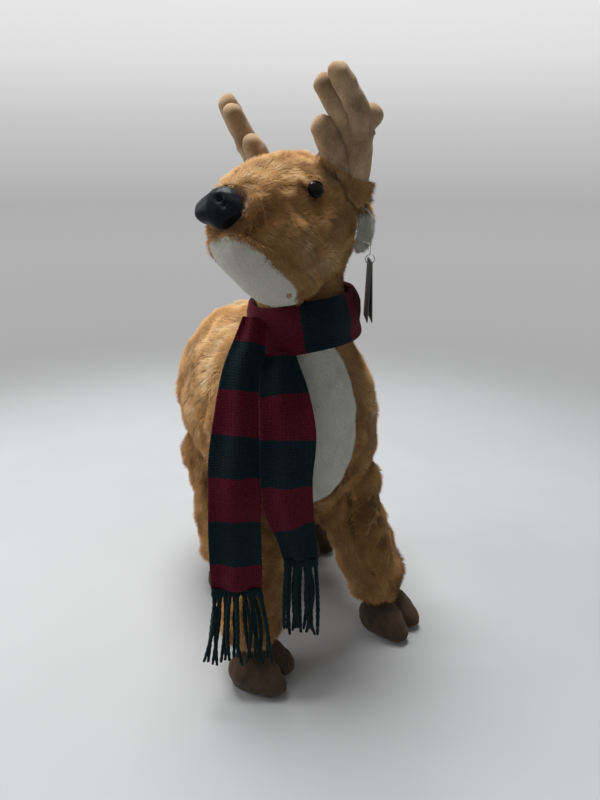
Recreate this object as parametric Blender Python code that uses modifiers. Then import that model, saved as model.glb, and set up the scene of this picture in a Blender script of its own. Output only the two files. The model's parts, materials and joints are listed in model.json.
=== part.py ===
"""Plush deer standing on four stuffed legs, its head turned to its right, with a striped scarf."""

import math

import bmesh
import bpy
from mathutils import Matrix, Vector

MM = 0.001

# Clearances and cloth thicknesses
GAP = 0.3 * MM
HALF_GAP = GAP / 2
BALL_GAP = 0.8 * MM
SWING_GAP = 5 * MM
PANEL_DEPTH = 4.5 * MM
REACH = 400 * MM

# Smoothing
CAGE_SIDES = 10
TINE_SIDES = 8
ANTLER_SIDES = 7
CAGE_SHRINK_SHARE = 0.95
BALL_SEGMENTS = 18
BALL_RINGS = 12
ROUND_STEPS = 22

# Body: back line and belly line meet in rings that fan round from rump to neck
# Each row: back y, back z, belly y, belly z, half width, sideways shift of the middle
RUMP_POLE = Vector((0, 206, 256)) * MM
BODY_RINGS = (
    (197, 304, 192, 206, 50, 0),
    (172, 352, 164, 164, 87, -1),
    (130, 374, 124, 144, 104, -3),
    (84, 377, 76, 138, 108, -5),
    (44, 375, 18, 138, 105, -8),
    (22, 374, -46, 152, 97, -11),
    (14, 374, -94, 190, 90, -14),
    (12, 376, -114, 240, 80, -15),
    (10, 380, -110, 292, 64, -13),
)
NECK_FOOT = Vector((-10, -43, 345)) * MM
NECK_AXIS = Vector((-0.14, 0.06, 1.0)).normalized()
NECK_RADIUS = 46 * MM
NECK_RINGS = 3
NECK_RING_STEP = 17 * MM
NECK_SEAM_HEIGHT = 30 * MM

# Chest bib: an oval let into the chest, on the side that the chest is twisted to
BIB_TURN = math.radians(-24)
BIB_CENTRE = Vector((-25, -50, 284)) * MM
BIB_HALF_WIDTH = 54 * MM
BIB_HALF_HEIGHT = 92 * MM

# Legs: shoulder or hip ball, ankle, and the way that the hoof points
LEG_BALL_RADIUS = 43 * MM
LEG_TOP_RADIUS = 37 * MM
LEG_MIDDLE_RADIUS = 37 * MM
ANKLE_RADIUS = 38 * MM
ANKLE_BLUNT_SHARE = 0.3
LEGS = {
    "front_right": (Vector((-70, -36, 180)) * MM, Vector((-104, -88, 46)) * MM, math.radians(43)),
    "front_left": (Vector((38, -38, 180)) * MM, Vector((70, -76, 46)) * MM, math.radians(24)),
    "hind_right": (Vector((-62, 118, 178)) * MM, Vector((-65, 72, 42)) * MM, math.radians(20)),
    "hind_left": (Vector((58, 120, 178)) * MM, Vector((62, 110, 46)) * MM, math.radians(14)),
}

# Hooves: two toes side by side, flat underneath
TOE_HEEL_BACK = 29 * MM
TOE_TIP_FORWARD = 52 * MM
TOE_MIDDLE_FORWARD = 14 * MM
TOE_HEEL_RADIUS = 24 * MM
TOE_MIDDLE_RADIUS = 22 * MM
TOE_TIP_RADIUS = 13 * MM
TOE_SPACING = 13 * MM
TOE_TIP_SPACING = 16 * MM
TOE_STAGGER = 1.3 * MM
TOE_HEIGHT_SHARE = 1.1
SOLE_CUT = 2 * MM

# Head, in its own frame: x to its left, -y to the nose, z up
HEAD_CENTRE = Vector((-10, -42, 471)) * MM
HEAD_TURN = math.radians(-64)
HEAD_TILT = math.radians(-15)
HEAD_ROLL = math.radians(-9)
SKULL_POLE = Vector((0, 50, 0)) * MM
MUZZLE_POLE = Vector((0, -122, -20)) * MM
# Each row: y, middle z, half width, half height
HEAD_RINGS = (
    (40, -1, 30, 43),
    (18, -1, 46, 62),
    (-10, -5, 52, 69),
    (-36, -14, 50, 75),
    (-60, -16, 45, 68),
    (-82, -16, 39, 57),
    (-102, -17, 34, 45),
    (-117, -19, 25, 32),
)
THROAT_RADIUS = 45 * MM
THROAT_HEIGHT = 50 * MM
HEAD_LIFT = 31 * MM

# Chin panel: the underside of the muzzle, below a slanting plane
CHIN_PLANE_POINT = Vector((0, -64, -50)) * MM
CHIN_SLOPE = math.radians(19)

# Nose
NOSE_CENTRE = Vector((0, -120, -8)) * MM
NOSE_HALF_WIDTH = 21 * MM
NOSE_HALF_HEIGHT = 18 * MM
NOSE_HALF_DEPTH = 15 * MM
NOSE_SEGMENTS = 16

# Eyes: a dome on a ribbed stem, locked by a washer inside the head
EYE_PLACE = Vector((44, -50, 14)) * MM
EYE_TURN = math.radians(30)
EYE_RADIUS = 7.5 * MM
EYE_DOME_HEIGHT = 5 * MM
EYE_DOME_STEPS = 5
EYE_STEM_RADIUS = 2.2 * MM
EYE_STEM_LENGTH = 13 * MM
EYE_WASHER_RADIUS = 6.5 * MM
EYE_WASHER_THICKNESS = 1.5 * MM
EYE_WASHER_PLACE = 8 * MM

# Ears: a leaf that hangs from its root, its lining let in on the outer side
EAR_ROOT = Vector((37, 27, 30)) * MM
EAR_LENGTH = 58 * MM
EAR_SWEEP = math.radians(60)
EAR_DROP = math.radians(8)
EAR_HALF_THICKNESS = 4 * MM
EAR_WIDTH_SHARES = ((0.0, 0.45), (0.2, 0.8), (0.45, 1.0), (0.7, 0.86), (0.9, 0.5))
EAR_HALF_WIDTH = 20 * MM
EAR_SWING = math.radians(20)
EAR_SWING_STEPS = 2
LINING_SHARE = 0.74
LINING_HALF_THICKNESS = 2 * MM
LINING_OUT = 3 * MM

# Antlers, in the plane of each: h outward and back, v up, d towards the face of the plane
ANTLER_ROOT = Vector((45, -3, 42)) * MM
ANTLER_PLANE_TURN = math.radians(40)
ANTLER_LEAN_OUT_SHARE = 0.35
ANTLER_LEAN_FORWARD_SHARE = 0.66
# Each tine: rows of h, v, d, radius
ANTLER_TINES = (
    ((4, -26, 0, 13), (6, -6, 0, 13), (9, 12, 0, 13), (11, 30, 0, 12)),
    ((-1, -6, 2, 12), (-10, 13, 3, 12), (-17, 29, 3, 11), (-22, 41, 3, 10)),
    ((9, 26, 2, 12), (-1, 45, 3, 11), (-10, 61, 3, 10), (-18, 74, 3, 9)),
    ((13, 30, -2, 11), (9, 53, -3, 10), (1, 70, -3, 10), (-7, 84, -3, 9)),
    ((11, 37, -2, 11), (18, 43, -2, 10), (22, 46, -2, 10)),
)

# Deer's tail
TAIL_ROOT = Vector((0, 196, 300)) * MM
TAIL_HINGE_RISE = 9 * MM
TAIL_LENGTH = 58 * MM
TAIL_HALF_WIDTH = 17 * MM
TAIL_HALF_THICKNESS = 8 * MM
TAIL_SLOPE = math.radians(28)
TAIL_WIDTH_SHARES = ((0.0, 0.6), (0.3, 0.95), (0.6, 1.0), (0.85, 0.65))

# Scarf: a band round the neck and two hanging ends, placed from the neck's own line
SCARF_TURN = math.radians(-27)
WRAP_INNER_RADIUS = 47 * MM
WRAP_THICKNESS = 7 * MM
WRAP_HALF_HEIGHT = 25 * MM
WRAP_MIDDLE = 5 * MM
WRAP_STEPS = 40
WRAP_FOLDS = 5
WRAP_FOLD_DEPTH = 1.2 * MM
WRAP_BELLY = 2 * MM
SCARF_HALF_THICKNESS = 2.6 * MM
SCARF_FOLD_DEPTH = 2.2 * MM
SCARF_FOLD_WAVES = 1.5
SCARF_EDGE_POWER = 0.5
SCARF_SIDES = 16
# Each row: sideways, outward from the neck's line, height, half width
LONG_END_PATH = (
    (-53, 42, 388, 10),
    (-58, 54, 366, 14),
    (-64.5, 68, 340, 17.5),
    (-68, 82, 304, 21),
    (-71, 95, 262, 24),
    (-71.5, 101, 225, 24.5),
    (-72, 104, 180, 25),
    (-72, 107, 130, 25),
)
SHORT_END_PATH = (
    (-28, 57, 349, 16),
    (-26.5, 67, 340, 19),
    (-23.5, 81, 322, 22.5),
    (-20.5, 95, 290, 25.5),
    (-22, 102, 250, 24),
    (-19.5, 104, 215, 22.5),
    (-13, 104, 190, 19),
    (-8.5, 104, 163, 16),
)

# Fringe
YARN_RADIUS = 2 * MM
YARN_SIDES = 5
FRINGE_LENGTH = 84 * MM
FRINGE_SPREAD_SHARE = 1.5
FRINGE_FORWARD = 12 * MM
FRINGE_UNEVEN_SHARE = 0.12
FRINGE_STRIDE = 7
FRINGE_LEVELS = 5
LONG_YARN_COUNT = 12
SHORT_YARN_COUNT = 10
HEADER_HEIGHT = 4 * MM
HEADER_HALF_THICKNESS = 2.2 * MM

# Hang tag and its fastener, on the left ear
TAG_LENGTH = 58 * MM
TAG_WIDTH = 38 * MM
TAG_THICKNESS = 0.8 * MM
TAG_OPENING = math.radians(4)
TAG_TURN = math.radians(63)
TAG_HOLE_RADIUS = 2 * MM
TAG_HOLE_INSET = 5 * MM
FASTENER_RADIUS = 0.6 * MM
FASTENER_BAR_HALF = 4.5 * MM
FASTENER_BAR_RADIUS = 0.9 * MM
FASTENER_HOLE_RADIUS = 1.1 * MM
FASTENER_BEND = Vector((8, -2, -3)) * MM
FASTENER_DROP = 10 * MM
FASTENER_LOOP_RADIUS = 4.5 * MM
FASTENER_LOOP_STEPS = 12
FASTENER_ROOM_PLACE = Vector((0, -5, 0)) * MM
FASTENER_ROOM_RADIUS = 9 * MM
EAR_HOLE_SHARE = 0.8

# Colours
TAN = (0.42, 0.23, 0.10)
WHITE = (0.80, 0.78, 0.72)
HOOF_BROWN = (0.10, 0.06, 0.035)
ANTLER_BROWN = (0.33, 0.23, 0.15)
NOSE_BLUE_BLACK = (0.012, 0.013, 0.018)
EYE_BLACK = (0.006, 0.005, 0.005)
WASHER_WHITE = (0.75, 0.75, 0.75)
CRIMSON = (0.16, 0.012, 0.03)
GREEN = (0.006, 0.03, 0.035)
CARD = (0.72, 0.70, 0.66)
CLEAR_PLASTIC = (0.6, 0.6, 0.6)


# Scene and materials
def reset_scene():
    for obj in list(bpy.data.objects):
        bpy.data.objects.remove(obj, do_unlink=True)


def make_collection(name):
    group = bpy.data.collections.new(name)
    bpy.context.scene.collection.children.link(group)
    return group


def make_material(name, colour, roughness):
    material = bpy.data.materials.new(name)
    material.use_nodes = True
    shader = material.node_tree.nodes["Principled BSDF"]
    shader.inputs["Base Color"].default_value = (*colour, 1.0)
    shader.inputs["Roughness"].default_value = roughness
    shader.inputs["Metallic"].default_value = 0.0
    return material


def add_piece(name, bm, matrix=None):
    """New object in the deer's collection from a bmesh, which is freed."""
    bmesh.ops.recalc_face_normals(bm, faces=bm.faces)
    mesh = bpy.data.meshes.new(name)
    bm.to_mesh(mesh)
    bm.free()
    obj = bpy.data.objects.new(name, mesh)
    if matrix is not None:
        obj.matrix_world = matrix
    PARTS.objects.link(obj)
    return obj


def as_cutter(obj):
    PARTS.objects.unlink(obj)
    CUTTERS.objects.link(obj)
    obj.hide_render = True
    obj.display_type = "WIRE"
    return obj


def settle(obj):
    """Replace the object's mesh by its evaluated one and drop the modifiers."""
    bpy.context.view_layer.update()
    depsgraph = bpy.context.evaluated_depsgraph_get()
    mesh = bpy.data.meshes.new_from_object(obj.evaluated_get(depsgraph))
    obj.modifiers.clear()
    obj.data = mesh
    return obj


def boolean(target, other, operation):
    step = target.modifiers.new(operation.title(), "BOOLEAN")
    step.operation = operation
    step.object = other
    return settle(target)


def cut(target, cutter):
    return boolean(target, cutter, "DIFFERENCE")


def fuse(target, other):
    boolean(target, other, "UNION")
    bpy.data.objects.remove(other, do_unlink=True)
    return target


def smooth_cage(obj, levels=1):
    step = obj.modifiers.new("Smooth", "SUBSURF")
    step.levels = levels
    step.render_levels = levels
    obj.modifiers.new("Plane faces", "TRIANGULATE")
    return settle(obj)


def grown_copy(obj, distance, name):
    """Cutter with the object's form, moved outward along its normals."""
    bm = mesh_copy(obj)
    bm.normal_update()
    moved = [vert.co + vert.normal * distance for vert in bm.verts]
    for vert, place in zip(bm.verts, moved):
        vert.co = place
    return as_cutter(add_piece(name, bm, obj.matrix_world.copy()))


def pushed_copy(obj, push, name):
    """Cutter with the object's form, moved as a whole."""
    cutter = as_cutter(add_piece(name, mesh_copy(obj), obj.matrix_world.copy()))
    cutter.location += push
    return cutter


def mesh_copy(obj):
    bm = bmesh.new()
    bm.from_mesh(obj.data)
    return bm


def dress(obj, material, pivot, parent=None):
    """Give a finished piece its material, its origin, smooth shading and its parent."""
    shift = obj.matrix_world.inverted() @ pivot
    obj.data.transform(Matrix.Translation(-shift))
    obj.matrix_world = obj.matrix_world @ Matrix.Translation(shift)
    obj.data.materials.clear()
    obj.data.materials.append(material)
    obj.data.shade_smooth()
    obj.data.set_sharp_from_angle(angle=math.radians(50))
    obj.parent = ROOT if parent is None else parent
    obj.matrix_parent_inverse = obj.parent.matrix_world.inverted()
    return obj


# Forms
def skin_rings(bm, rings, poles):
    """Close a row of vertex rings into a tube with a pole at each end."""
    for near, far in zip(rings, rings[1:]):
        for k in range(len(near)):
            bm.faces.new((near[k - 1], near[k], far[k], far[k - 1]))
    for ring, place in ((rings[0], poles[0]), (rings[-1], poles[1])):
        pole = bm.verts.new(place)
        for k in range(len(ring)):
            bm.faces.new((ring[k - 1], ring[k], pole))


def loft(name, sections, poles, sides=CAGE_SIDES, matrix=None, levels=1):
    """Soft form from a coarse cage: each section is a centre and two half axes."""
    shrink = CAGE_SHRINK_SHARE if levels else 1
    bm = bmesh.new()
    rings = []
    for centre, across, up in sections:
        ring = []
        for k in range(sides):
            turn = math.tau * k / sides
            spoke = across * math.cos(turn) + up * math.sin(turn)
            ring.append(bm.verts.new(centre + spoke / shrink))
        rings.append(ring)
    skin_rings(bm, rings, poles)
    return smooth_cage(add_piece(name, bm, matrix), levels)


def limb(name, points, radii, flat_share=1.0, end_share=1.0, sides=CAGE_SIDES, matrix=None, levels=1):
    """Loft of round or flattened sections along a line of points, closed by rounded ends."""
    side = Vector((1, 0, 0))
    sections = []
    for i, (point, radius) in enumerate(zip(points, radii)):
        along = (points[min(i + 1, len(points) - 1)] - points[max(i - 1, 0)]).normalized()
        across = (side - along * side.dot(along)).normalized()
        sections.append((point, across * radius, along.cross(across) * radius * flat_share))
    start = points[0] + (points[0] - points[1]).normalized() * radii[0]
    end = points[-1] + (points[-1] - points[-2]).normalized() * radii[-1] * end_share
    return loft(name, sections, (start, end), sides, matrix, levels)


def ball(name, centre, radius):
    bm = bmesh.new()
    bmesh.ops.create_uvsphere(bm, u_segments=BALL_SEGMENTS, v_segments=BALL_RINGS, radius=radius)
    lie_along_x = Matrix.Rotation(math.radians(90), 4, "Y")
    return add_piece(name, bm, Matrix.Translation(centre) @ lie_along_x)


def slab_cutter(name, point, normal):
    """Large block whose face passes through a point; it fills the side that the normal shows."""
    bm = bmesh.new()
    bmesh.ops.create_cube(bm, size=REACH)
    turn = normal.to_track_quat("Z", "Y").to_matrix().to_4x4()
    place = Matrix.Translation(point + normal * REACH / 2)
    return as_cutter(add_piece(name, bm, place @ turn))


def oval_prism(name, half_width, half_length, height, matrix):
    """Upright prism over an oval in the frame's xy plane, from its middle outward along z."""
    bm = bmesh.new()
    bmesh.ops.create_cone(
        bm, cap_ends=True, segments=ROUND_STEPS, radius1=half_width, radius2=half_width, depth=height
    )
    stretch = Matrix.Diagonal((1.0, half_length / half_width, 1.0, 1.0))
    rise = Matrix.Translation(Vector((0, 0, height / 2)))
    bmesh.ops.transform(bm, matrix=rise @ stretch, verts=bm.verts)
    return as_cutter(add_piece(name, bm, matrix))


def let_in(form, name, half_width, half_length, matrix):
    """Cut an oval panel out of a form's skin, PANEL_DEPTH thick, and return it as a piece."""
    inward = matrix.to_3x3() @ Vector((0, 0, -1))
    shallow = pushed_copy(form, inward * PANEL_DEPTH, name + "_core")
    deep = pushed_copy(form, inward * (PANEL_DEPTH + 2 * GAP), name + "_bed")
    inner = oval_prism(name + "_outline", half_width, half_length, REACH, matrix)
    behind = matrix @ Matrix.Translation(Vector((0, 0, -2 * GAP)))
    outer = oval_prism(name + "_pocket", half_width + GAP, half_length + GAP, REACH, behind)
    panel = add_piece(name, mesh_copy(form), form.matrix_world.copy())
    boolean(panel, inner, "INTERSECT")
    cut(panel, shallow)
    cut(outer, deep)
    cut(form, outer)
    return panel


def turned(name, profile, matrix, steps=ROUND_STEPS):
    """Solid of revolution about z; a profile off the axis is closed into a ring."""
    bm = bmesh.new()
    verts = [bm.verts.new(Vector((radius, 0, height))) for radius, height in profile]
    for upper, lower in zip(verts, verts[1:]):
        bm.edges.new((upper, lower))
    if profile[0][0] > 0:
        bm.edges.new((verts[-1], verts[0]))
    mesh = bpy.data.meshes.new(name)
    bm.to_mesh(mesh)
    bm.free()
    obj = bpy.data.objects.new(name, mesh)
    obj.matrix_world = matrix
    PARTS.objects.link(obj)
    step = obj.modifiers.new("Turn", "SCREW")
    step.steps = steps
    step.render_steps = steps
    step.use_merge_vertices = True
    step.merge_threshold = 0.00001
    return settle(obj)


# Body
def build_body():
    sections = []
    for back_y, back_z, belly_y, belly_z, half_width, shift in BODY_RINGS:
        back = Vector((shift, back_y, back_z)) * MM
        belly = Vector((shift, belly_y, belly_z)) * MM
        across = Vector((half_width, 0, 0)) * MM
        sections.append(((back + belly) / 2, across, (back - belly) / 2))
    across = Vector((1, 0, 0))
    across = (across - NECK_AXIS * across.dot(NECK_AXIS)).normalized()
    up = NECK_AXIS.cross(across)
    for k in range(NECK_RINGS):
        centre = NECK_FOOT + NECK_AXIS * NECK_RING_STEP * k
        sections.append((centre, across * NECK_RADIUS, up * NECK_RADIUS))
    top = NECK_FOOT + NECK_AXIS * NECK_RING_STEP * NECK_RINGS
    body = loft("body", sections, (RUMP_POLE, top))
    bib_frame = Matrix.Translation(BIB_CENTRE) @ Matrix.Rotation(BIB_TURN, 4, "Z")
    bib_frame = bib_frame @ Matrix.Rotation(math.radians(90), 4, "X")
    swing_room = grown_copy(body, SWING_GAP, "body_swing_room")
    seat_room = grown_copy(body, GAP, "body_seat_room")
    bib = let_in(body, "chest_bib", BIB_HALF_WIDTH, BIB_HALF_HEIGHT, bib_frame)
    seam = slab_cutter("neck_seam", NECK_SEAM - NECK_AXIS * HALF_GAP, NECK_AXIS)
    cut(body, seam)
    cut(bib, seam)
    return body, bib, swing_room, seat_room


def build_leg(name, shoulder, ankle, body_room):
    """Leg with its ball, and the room that it takes from the hoof."""
    middle = (shoulder + ankle) / 2
    points = (shoulder, (shoulder + middle) / 2, middle, (middle + ankle) / 2, ankle)
    radii = (LEG_TOP_RADIUS, LEG_TOP_RADIUS, LEG_MIDDLE_RADIUS, LEG_MIDDLE_RADIUS, ANKLE_RADIUS)
    leg = limb(name, points, radii, end_share=ANKLE_BLUNT_SHARE)
    room = grown_copy(leg, GAP, name + "_room")
    cut(leg, body_room)
    return fuse(leg, ball(name + "_ball", shoulder, LEG_BALL_RADIUS)), room


def build_hoof(name, ankle, turn, leg_room):
    frame = Matrix.Translation(Vector((ankle.x, ankle.y, 0))) @ Matrix.Rotation(turn, 4, "Z")
    toes = []
    for side in (-1, 1):
        stagger = Vector((0, side * TOE_STAGGER, 0))
        points = (
            Vector((side * TOE_SPACING, TOE_HEEL_BACK - TOE_HEEL_RADIUS, TOE_HEEL_RADIUS)) + stagger,
            Vector((side * TOE_SPACING, -TOE_MIDDLE_FORWARD, TOE_MIDDLE_RADIUS)) + stagger,
            Vector((side * TOE_TIP_SPACING, TOE_TIP_RADIUS - TOE_TIP_FORWARD, TOE_TIP_RADIUS)) + stagger,
        )
        radii = (TOE_HEEL_RADIUS, TOE_MIDDLE_RADIUS, TOE_TIP_RADIUS)
        toe = limb(name, points, radii, flat_share=TOE_HEIGHT_SHARE, sides=TINE_SIDES, matrix=frame)
        toes.append(toe)
    hoof = fuse(*toes)
    cut(hoof, leg_room)
    cut(hoof, slab_cutter(name + "_floor", Vector((0, 0, SOLE_CUT)), Vector((0, 0, -1))))
    return hoof


# Head
def head_matrix():
    turn = Matrix.Rotation(HEAD_TURN, 4, "Z")
    tilt = Matrix.Rotation(HEAD_TILT, 4, "X")
    roll = Matrix.Rotation(HEAD_ROLL, 4, "Y")
    return Matrix.Translation(HEAD_CENTRE) @ turn @ roll @ tilt


def build_head():
    """Skull and muzzle in one form, with a round throat that stands on the neck seam."""
    sections = []
    for y, z, half_width, half_height in HEAD_RINGS:
        centre = Vector((0, y, z)) * MM
        across = Vector((half_width, 0, 0)) * MM
        sections.append((centre, across, Vector((0, 0, half_height)) * MM))
    skull = loft("head", sections, (SKULL_POLE, MUZZLE_POLE), matrix=HEAD)
    room = grown_copy(skull, GAP, "head_room")
    chin = add_piece("chin_panel", mesh_copy(skull), skull.matrix_world.copy())
    middle = HEAD @ CHIN_PLANE_POINT
    down = HEAD.to_3x3() @ Vector((0, -math.sin(CHIN_SLOPE), -math.cos(CHIN_SLOPE)))
    cut(skull, slab_cutter("under_chin_seam", middle - down * HALF_GAP, down))
    cut(chin, slab_cutter("over_chin_seam", middle + down * HALF_GAP, -down))
    foot = slab_cutter("head_foot", NECK_SEAM + NECK_AXIS * HEAD_LIFT, -NECK_AXIS)
    cut(skull, foot)
    cut(chin, foot)
    profile = ((0, THROAT_HEIGHT), (THROAT_RADIUS, THROAT_HEIGHT), (THROAT_RADIUS, HALF_GAP), (0, HALF_GAP))
    turn = NECK_AXIS.to_track_quat("Z", "Y").to_matrix().to_4x4()
    throat = turned("throat", profile, Matrix.Translation(NECK_SEAM) @ turn)
    throat_room = grown_copy(chin, GAP, "throat_room")
    cut(throat, throat_room)
    rooms = (room, grown_copy(throat, GAP, "neck_room"))
    return fuse(skull, throat), chin, rooms


def build_nose(head):
    frame = HEAD @ Matrix.Translation(NOSE_CENTRE)
    bm = bmesh.new()
    bmesh.ops.create_uvsphere(bm, u_segments=NOSE_SEGMENTS, v_segments=NOSE_SEGMENTS // 2, radius=1)
    size = Matrix.Diagonal((NOSE_HALF_WIDTH, NOSE_HALF_DEPTH, NOSE_HALF_HEIGHT, 1))
    bmesh.ops.transform(bm, matrix=size, verts=bm.verts)
    nose = add_piece("nose", bm, frame)
    cut(head, grown_copy(nose, GAP, "nose_bed"))
    return nose


def eye_frame(side):
    place = Vector((side * EYE_PLACE.x, EYE_PLACE.y, EYE_PLACE.z))
    outward = Vector((side * math.cos(EYE_TURN), -math.sin(EYE_TURN), 0))
    turn = outward.to_track_quat("Z", "Y").to_matrix().to_4x4()
    return HEAD @ Matrix.Translation(place) @ turn


def build_eye(side_name, side, head):
    """Dome and stem, and the washer on the stem, in a bored pocket of the head."""
    frame = eye_frame(side)
    dome = [(0, EYE_DOME_HEIGHT)]
    for k in range(1, EYE_DOME_STEPS + 1):
        turn = math.pi / 2 * k / EYE_DOME_STEPS
        dome.append((EYE_RADIUS * math.sin(turn), EYE_DOME_HEIGHT * math.cos(turn)))
    stem = [(EYE_STEM_RADIUS, 0), (EYE_STEM_RADIUS, -EYE_STEM_LENGTH), (0, -EYE_STEM_LENGTH)]
    eye = turned("eye_" + side_name, dome + stem, frame)
    near = -EYE_WASHER_PLACE
    far = near - EYE_WASHER_THICKNESS
    hole = EYE_STEM_RADIUS + GAP
    ring = [(hole, near), (EYE_WASHER_RADIUS, near), (EYE_WASHER_RADIUS, far), (hole, far)]
    washer = turned("eye_washer_" + side_name, ring, frame)
    end = -EYE_STEM_LENGTH - GAP
    pocket_radius = EYE_WASHER_RADIUS + GAP
    rim = EYE_RADIUS + GAP
    bore = [(0, EYE_DOME_HEIGHT), (rim, EYE_DOME_HEIGHT), (rim, -GAP), (hole, -GAP), (hole, near + GAP)]
    bore += [(pocket_radius, near + GAP), (pocket_radius, far - GAP), (hole, far - GAP), (hole, end), (0, end)]
    cut(head, as_cutter(turned("eye_bore_" + side_name, bore, frame)))
    return eye, washer


def leaf(name, half_width, half_thickness, length, width_shares, matrix):
    """Leaf that hangs along -z from its root, with its broad face towards y."""
    sections = []
    for place, width in width_shares:
        centre = Vector((0, 0, -length * place))
        across = Vector((half_width * width, 0, 0))
        sections.append((centre, across, Vector((0, half_thickness, 0))))
    return loft(name, sections, (Vector((0, 0, half_thickness)), Vector((0, 0, -length))), TINE_SIDES, matrix)


def ear_frame(side):
    """Frame at an ear's root: x across the leaf, y out of its lined face, z up."""
    face = Vector((side * math.sin(EAR_SWEEP), -math.cos(EAR_SWEEP), 0))
    up = Vector((side * -math.sin(EAR_DROP), 0, math.cos(EAR_DROP)))
    across = face.cross(up).normalized()
    up = across.cross(face)
    turn = Matrix((across, face, up)).transposed().to_4x4()
    place = Vector((side * EAR_ROOT.x, EAR_ROOT.y, EAR_ROOT.z))
    return HEAD @ Matrix.Translation(place) @ turn


def build_ear(side_name, side, head_rooms):
    frame = ear_frame(side)
    ear = leaf("ear_" + side_name, EAR_HALF_WIDTH, EAR_HALF_THICKNESS, EAR_LENGTH, EAR_WIDTH_SHARES, frame)
    inset = Matrix.Translation(Vector((0, LINING_OUT, -EAR_LENGTH * (1 - LINING_SHARE) / 2)))
    lining = leaf(
        "ear_lining_" + side_name,
        EAR_HALF_WIDTH * LINING_SHARE,
        LINING_HALF_THICKNESS,
        EAR_LENGTH * LINING_SHARE,
        EAR_WIDTH_SHARES,
        frame @ inset,
    )
    cut(ear, grown_copy(lining, GAP, "lining_bed_" + side_name))
    for room in head_rooms:
        cut(ear, room)
        cut(lining, room)
    return ear, lining


def swept_rooms(antler, side_name, side):
    """Cutters with the antler's form, as the ear meets it at some angles of its swing."""
    frame = ear_frame(side)
    rooms = []
    for k in range(EAR_SWING_STEPS + 1):
        name = "antler_room_" + side_name + "_" + str(k)
        room = grown_copy(antler, GAP, name)
        turn = Matrix.Rotation(-EAR_SWING * k / EAR_SWING_STEPS, 4, "X")
        room.matrix_world = frame @ turn @ frame.inverted() @ room.matrix_world
        rooms.append(room)
    return rooms


def antler_frame(side):
    """Frame at an antler's root: x outward in its plane, y away from its face, z up its beam."""
    up = Vector((side * ANTLER_LEAN_OUT_SHARE, -ANTLER_LEAN_FORWARD_SHARE, 1)).normalized()
    outward = Vector((side * math.sin(ANTLER_PLANE_TURN), math.cos(ANTLER_PLANE_TURN), 0))
    outward = (outward - up * outward.dot(up)).normalized()
    face = outward.cross(up) * side
    turn = Matrix((outward, face, up)).transposed().to_4x4()
    place = Vector((side * ANTLER_ROOT.x, ANTLER_ROOT.y, ANTLER_ROOT.z))
    return HEAD @ Matrix.Translation(place) @ turn


def build_antler(side_name, side, head_room):
    frame = antler_frame(side)
    name = "antler_" + side_name
    tines = []
    for rows in ANTLER_TINES:
        points = [Vector((h, -d, v)) * MM for h, v, d, _ in rows]
        radii = [radius * MM for _, _, _, radius in rows]
        tines.append(limb(name, points, radii, sides=ANTLER_SIDES, matrix=frame))
    antler = tines[0]
    for tine in tines[1:]:
        fuse(antler, tine)
    cut(antler, head_room)
    return antler


def build_tail(body_room):
    turn = Matrix.Rotation(TAIL_SLOPE, 4, "X")
    frame = Matrix.Translation(TAIL_ROOT) @ turn
    tail = leaf("tail", TAIL_HALF_WIDTH, TAIL_HALF_THICKNESS, TAIL_LENGTH, TAIL_WIDTH_SHARES, frame)
    cut(tail, body_room)
    return tail


# Scarf
def scarf_axes():
    outward = Matrix.Rotation(SCARF_TURN, 3, "Z") @ Vector((0, -1, 0))
    sideways = Matrix.Rotation(SCARF_TURN, 3, "Z") @ Vector((1, 0, 0))
    return sideways, outward


def build_wrap():
    """Band round the neck: a closed sweep whose outer face bellies and folds."""
    turn = NECK_AXIS.to_track_quat("Z", "Y").to_matrix().to_4x4()
    frame = Matrix.Translation(NECK_SEAM + NECK_AXIS * WRAP_MIDDLE) @ turn
    bm = bmesh.new()
    rings = []
    for k in range(WRAP_STEPS):
        angle = math.tau * k / WRAP_STEPS
        fold = WRAP_FOLD_DEPTH * math.sin(WRAP_FOLDS * angle)
        outer = WRAP_INNER_RADIUS + WRAP_THICKNESS + fold
        profile = (
            (WRAP_INNER_RADIUS, WRAP_HALF_HEIGHT),
            (outer - WRAP_BELLY, WRAP_HALF_HEIGHT),
            (outer, WRAP_HALF_HEIGHT / 2),
            (outer + WRAP_BELLY, 0),
            (outer, -WRAP_HALF_HEIGHT / 2),
            (outer - WRAP_BELLY, -WRAP_HALF_HEIGHT),
            (WRAP_INNER_RADIUS, -WRAP_HALF_HEIGHT),
        )
        spoke = Vector((math.cos(angle), math.sin(angle), 0))
        rings.append([bm.verts.new(spoke * radius + Vector((0, 0, height))) for radius, height in profile])
    for k, ring in enumerate(rings):
        before = rings[k - 1]
        for j in range(len(ring)):
            bm.faces.new((before[j - 1], before[j], ring[j], ring[j - 1]))
    return add_piece("scarf_wrap", bm, frame)


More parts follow.
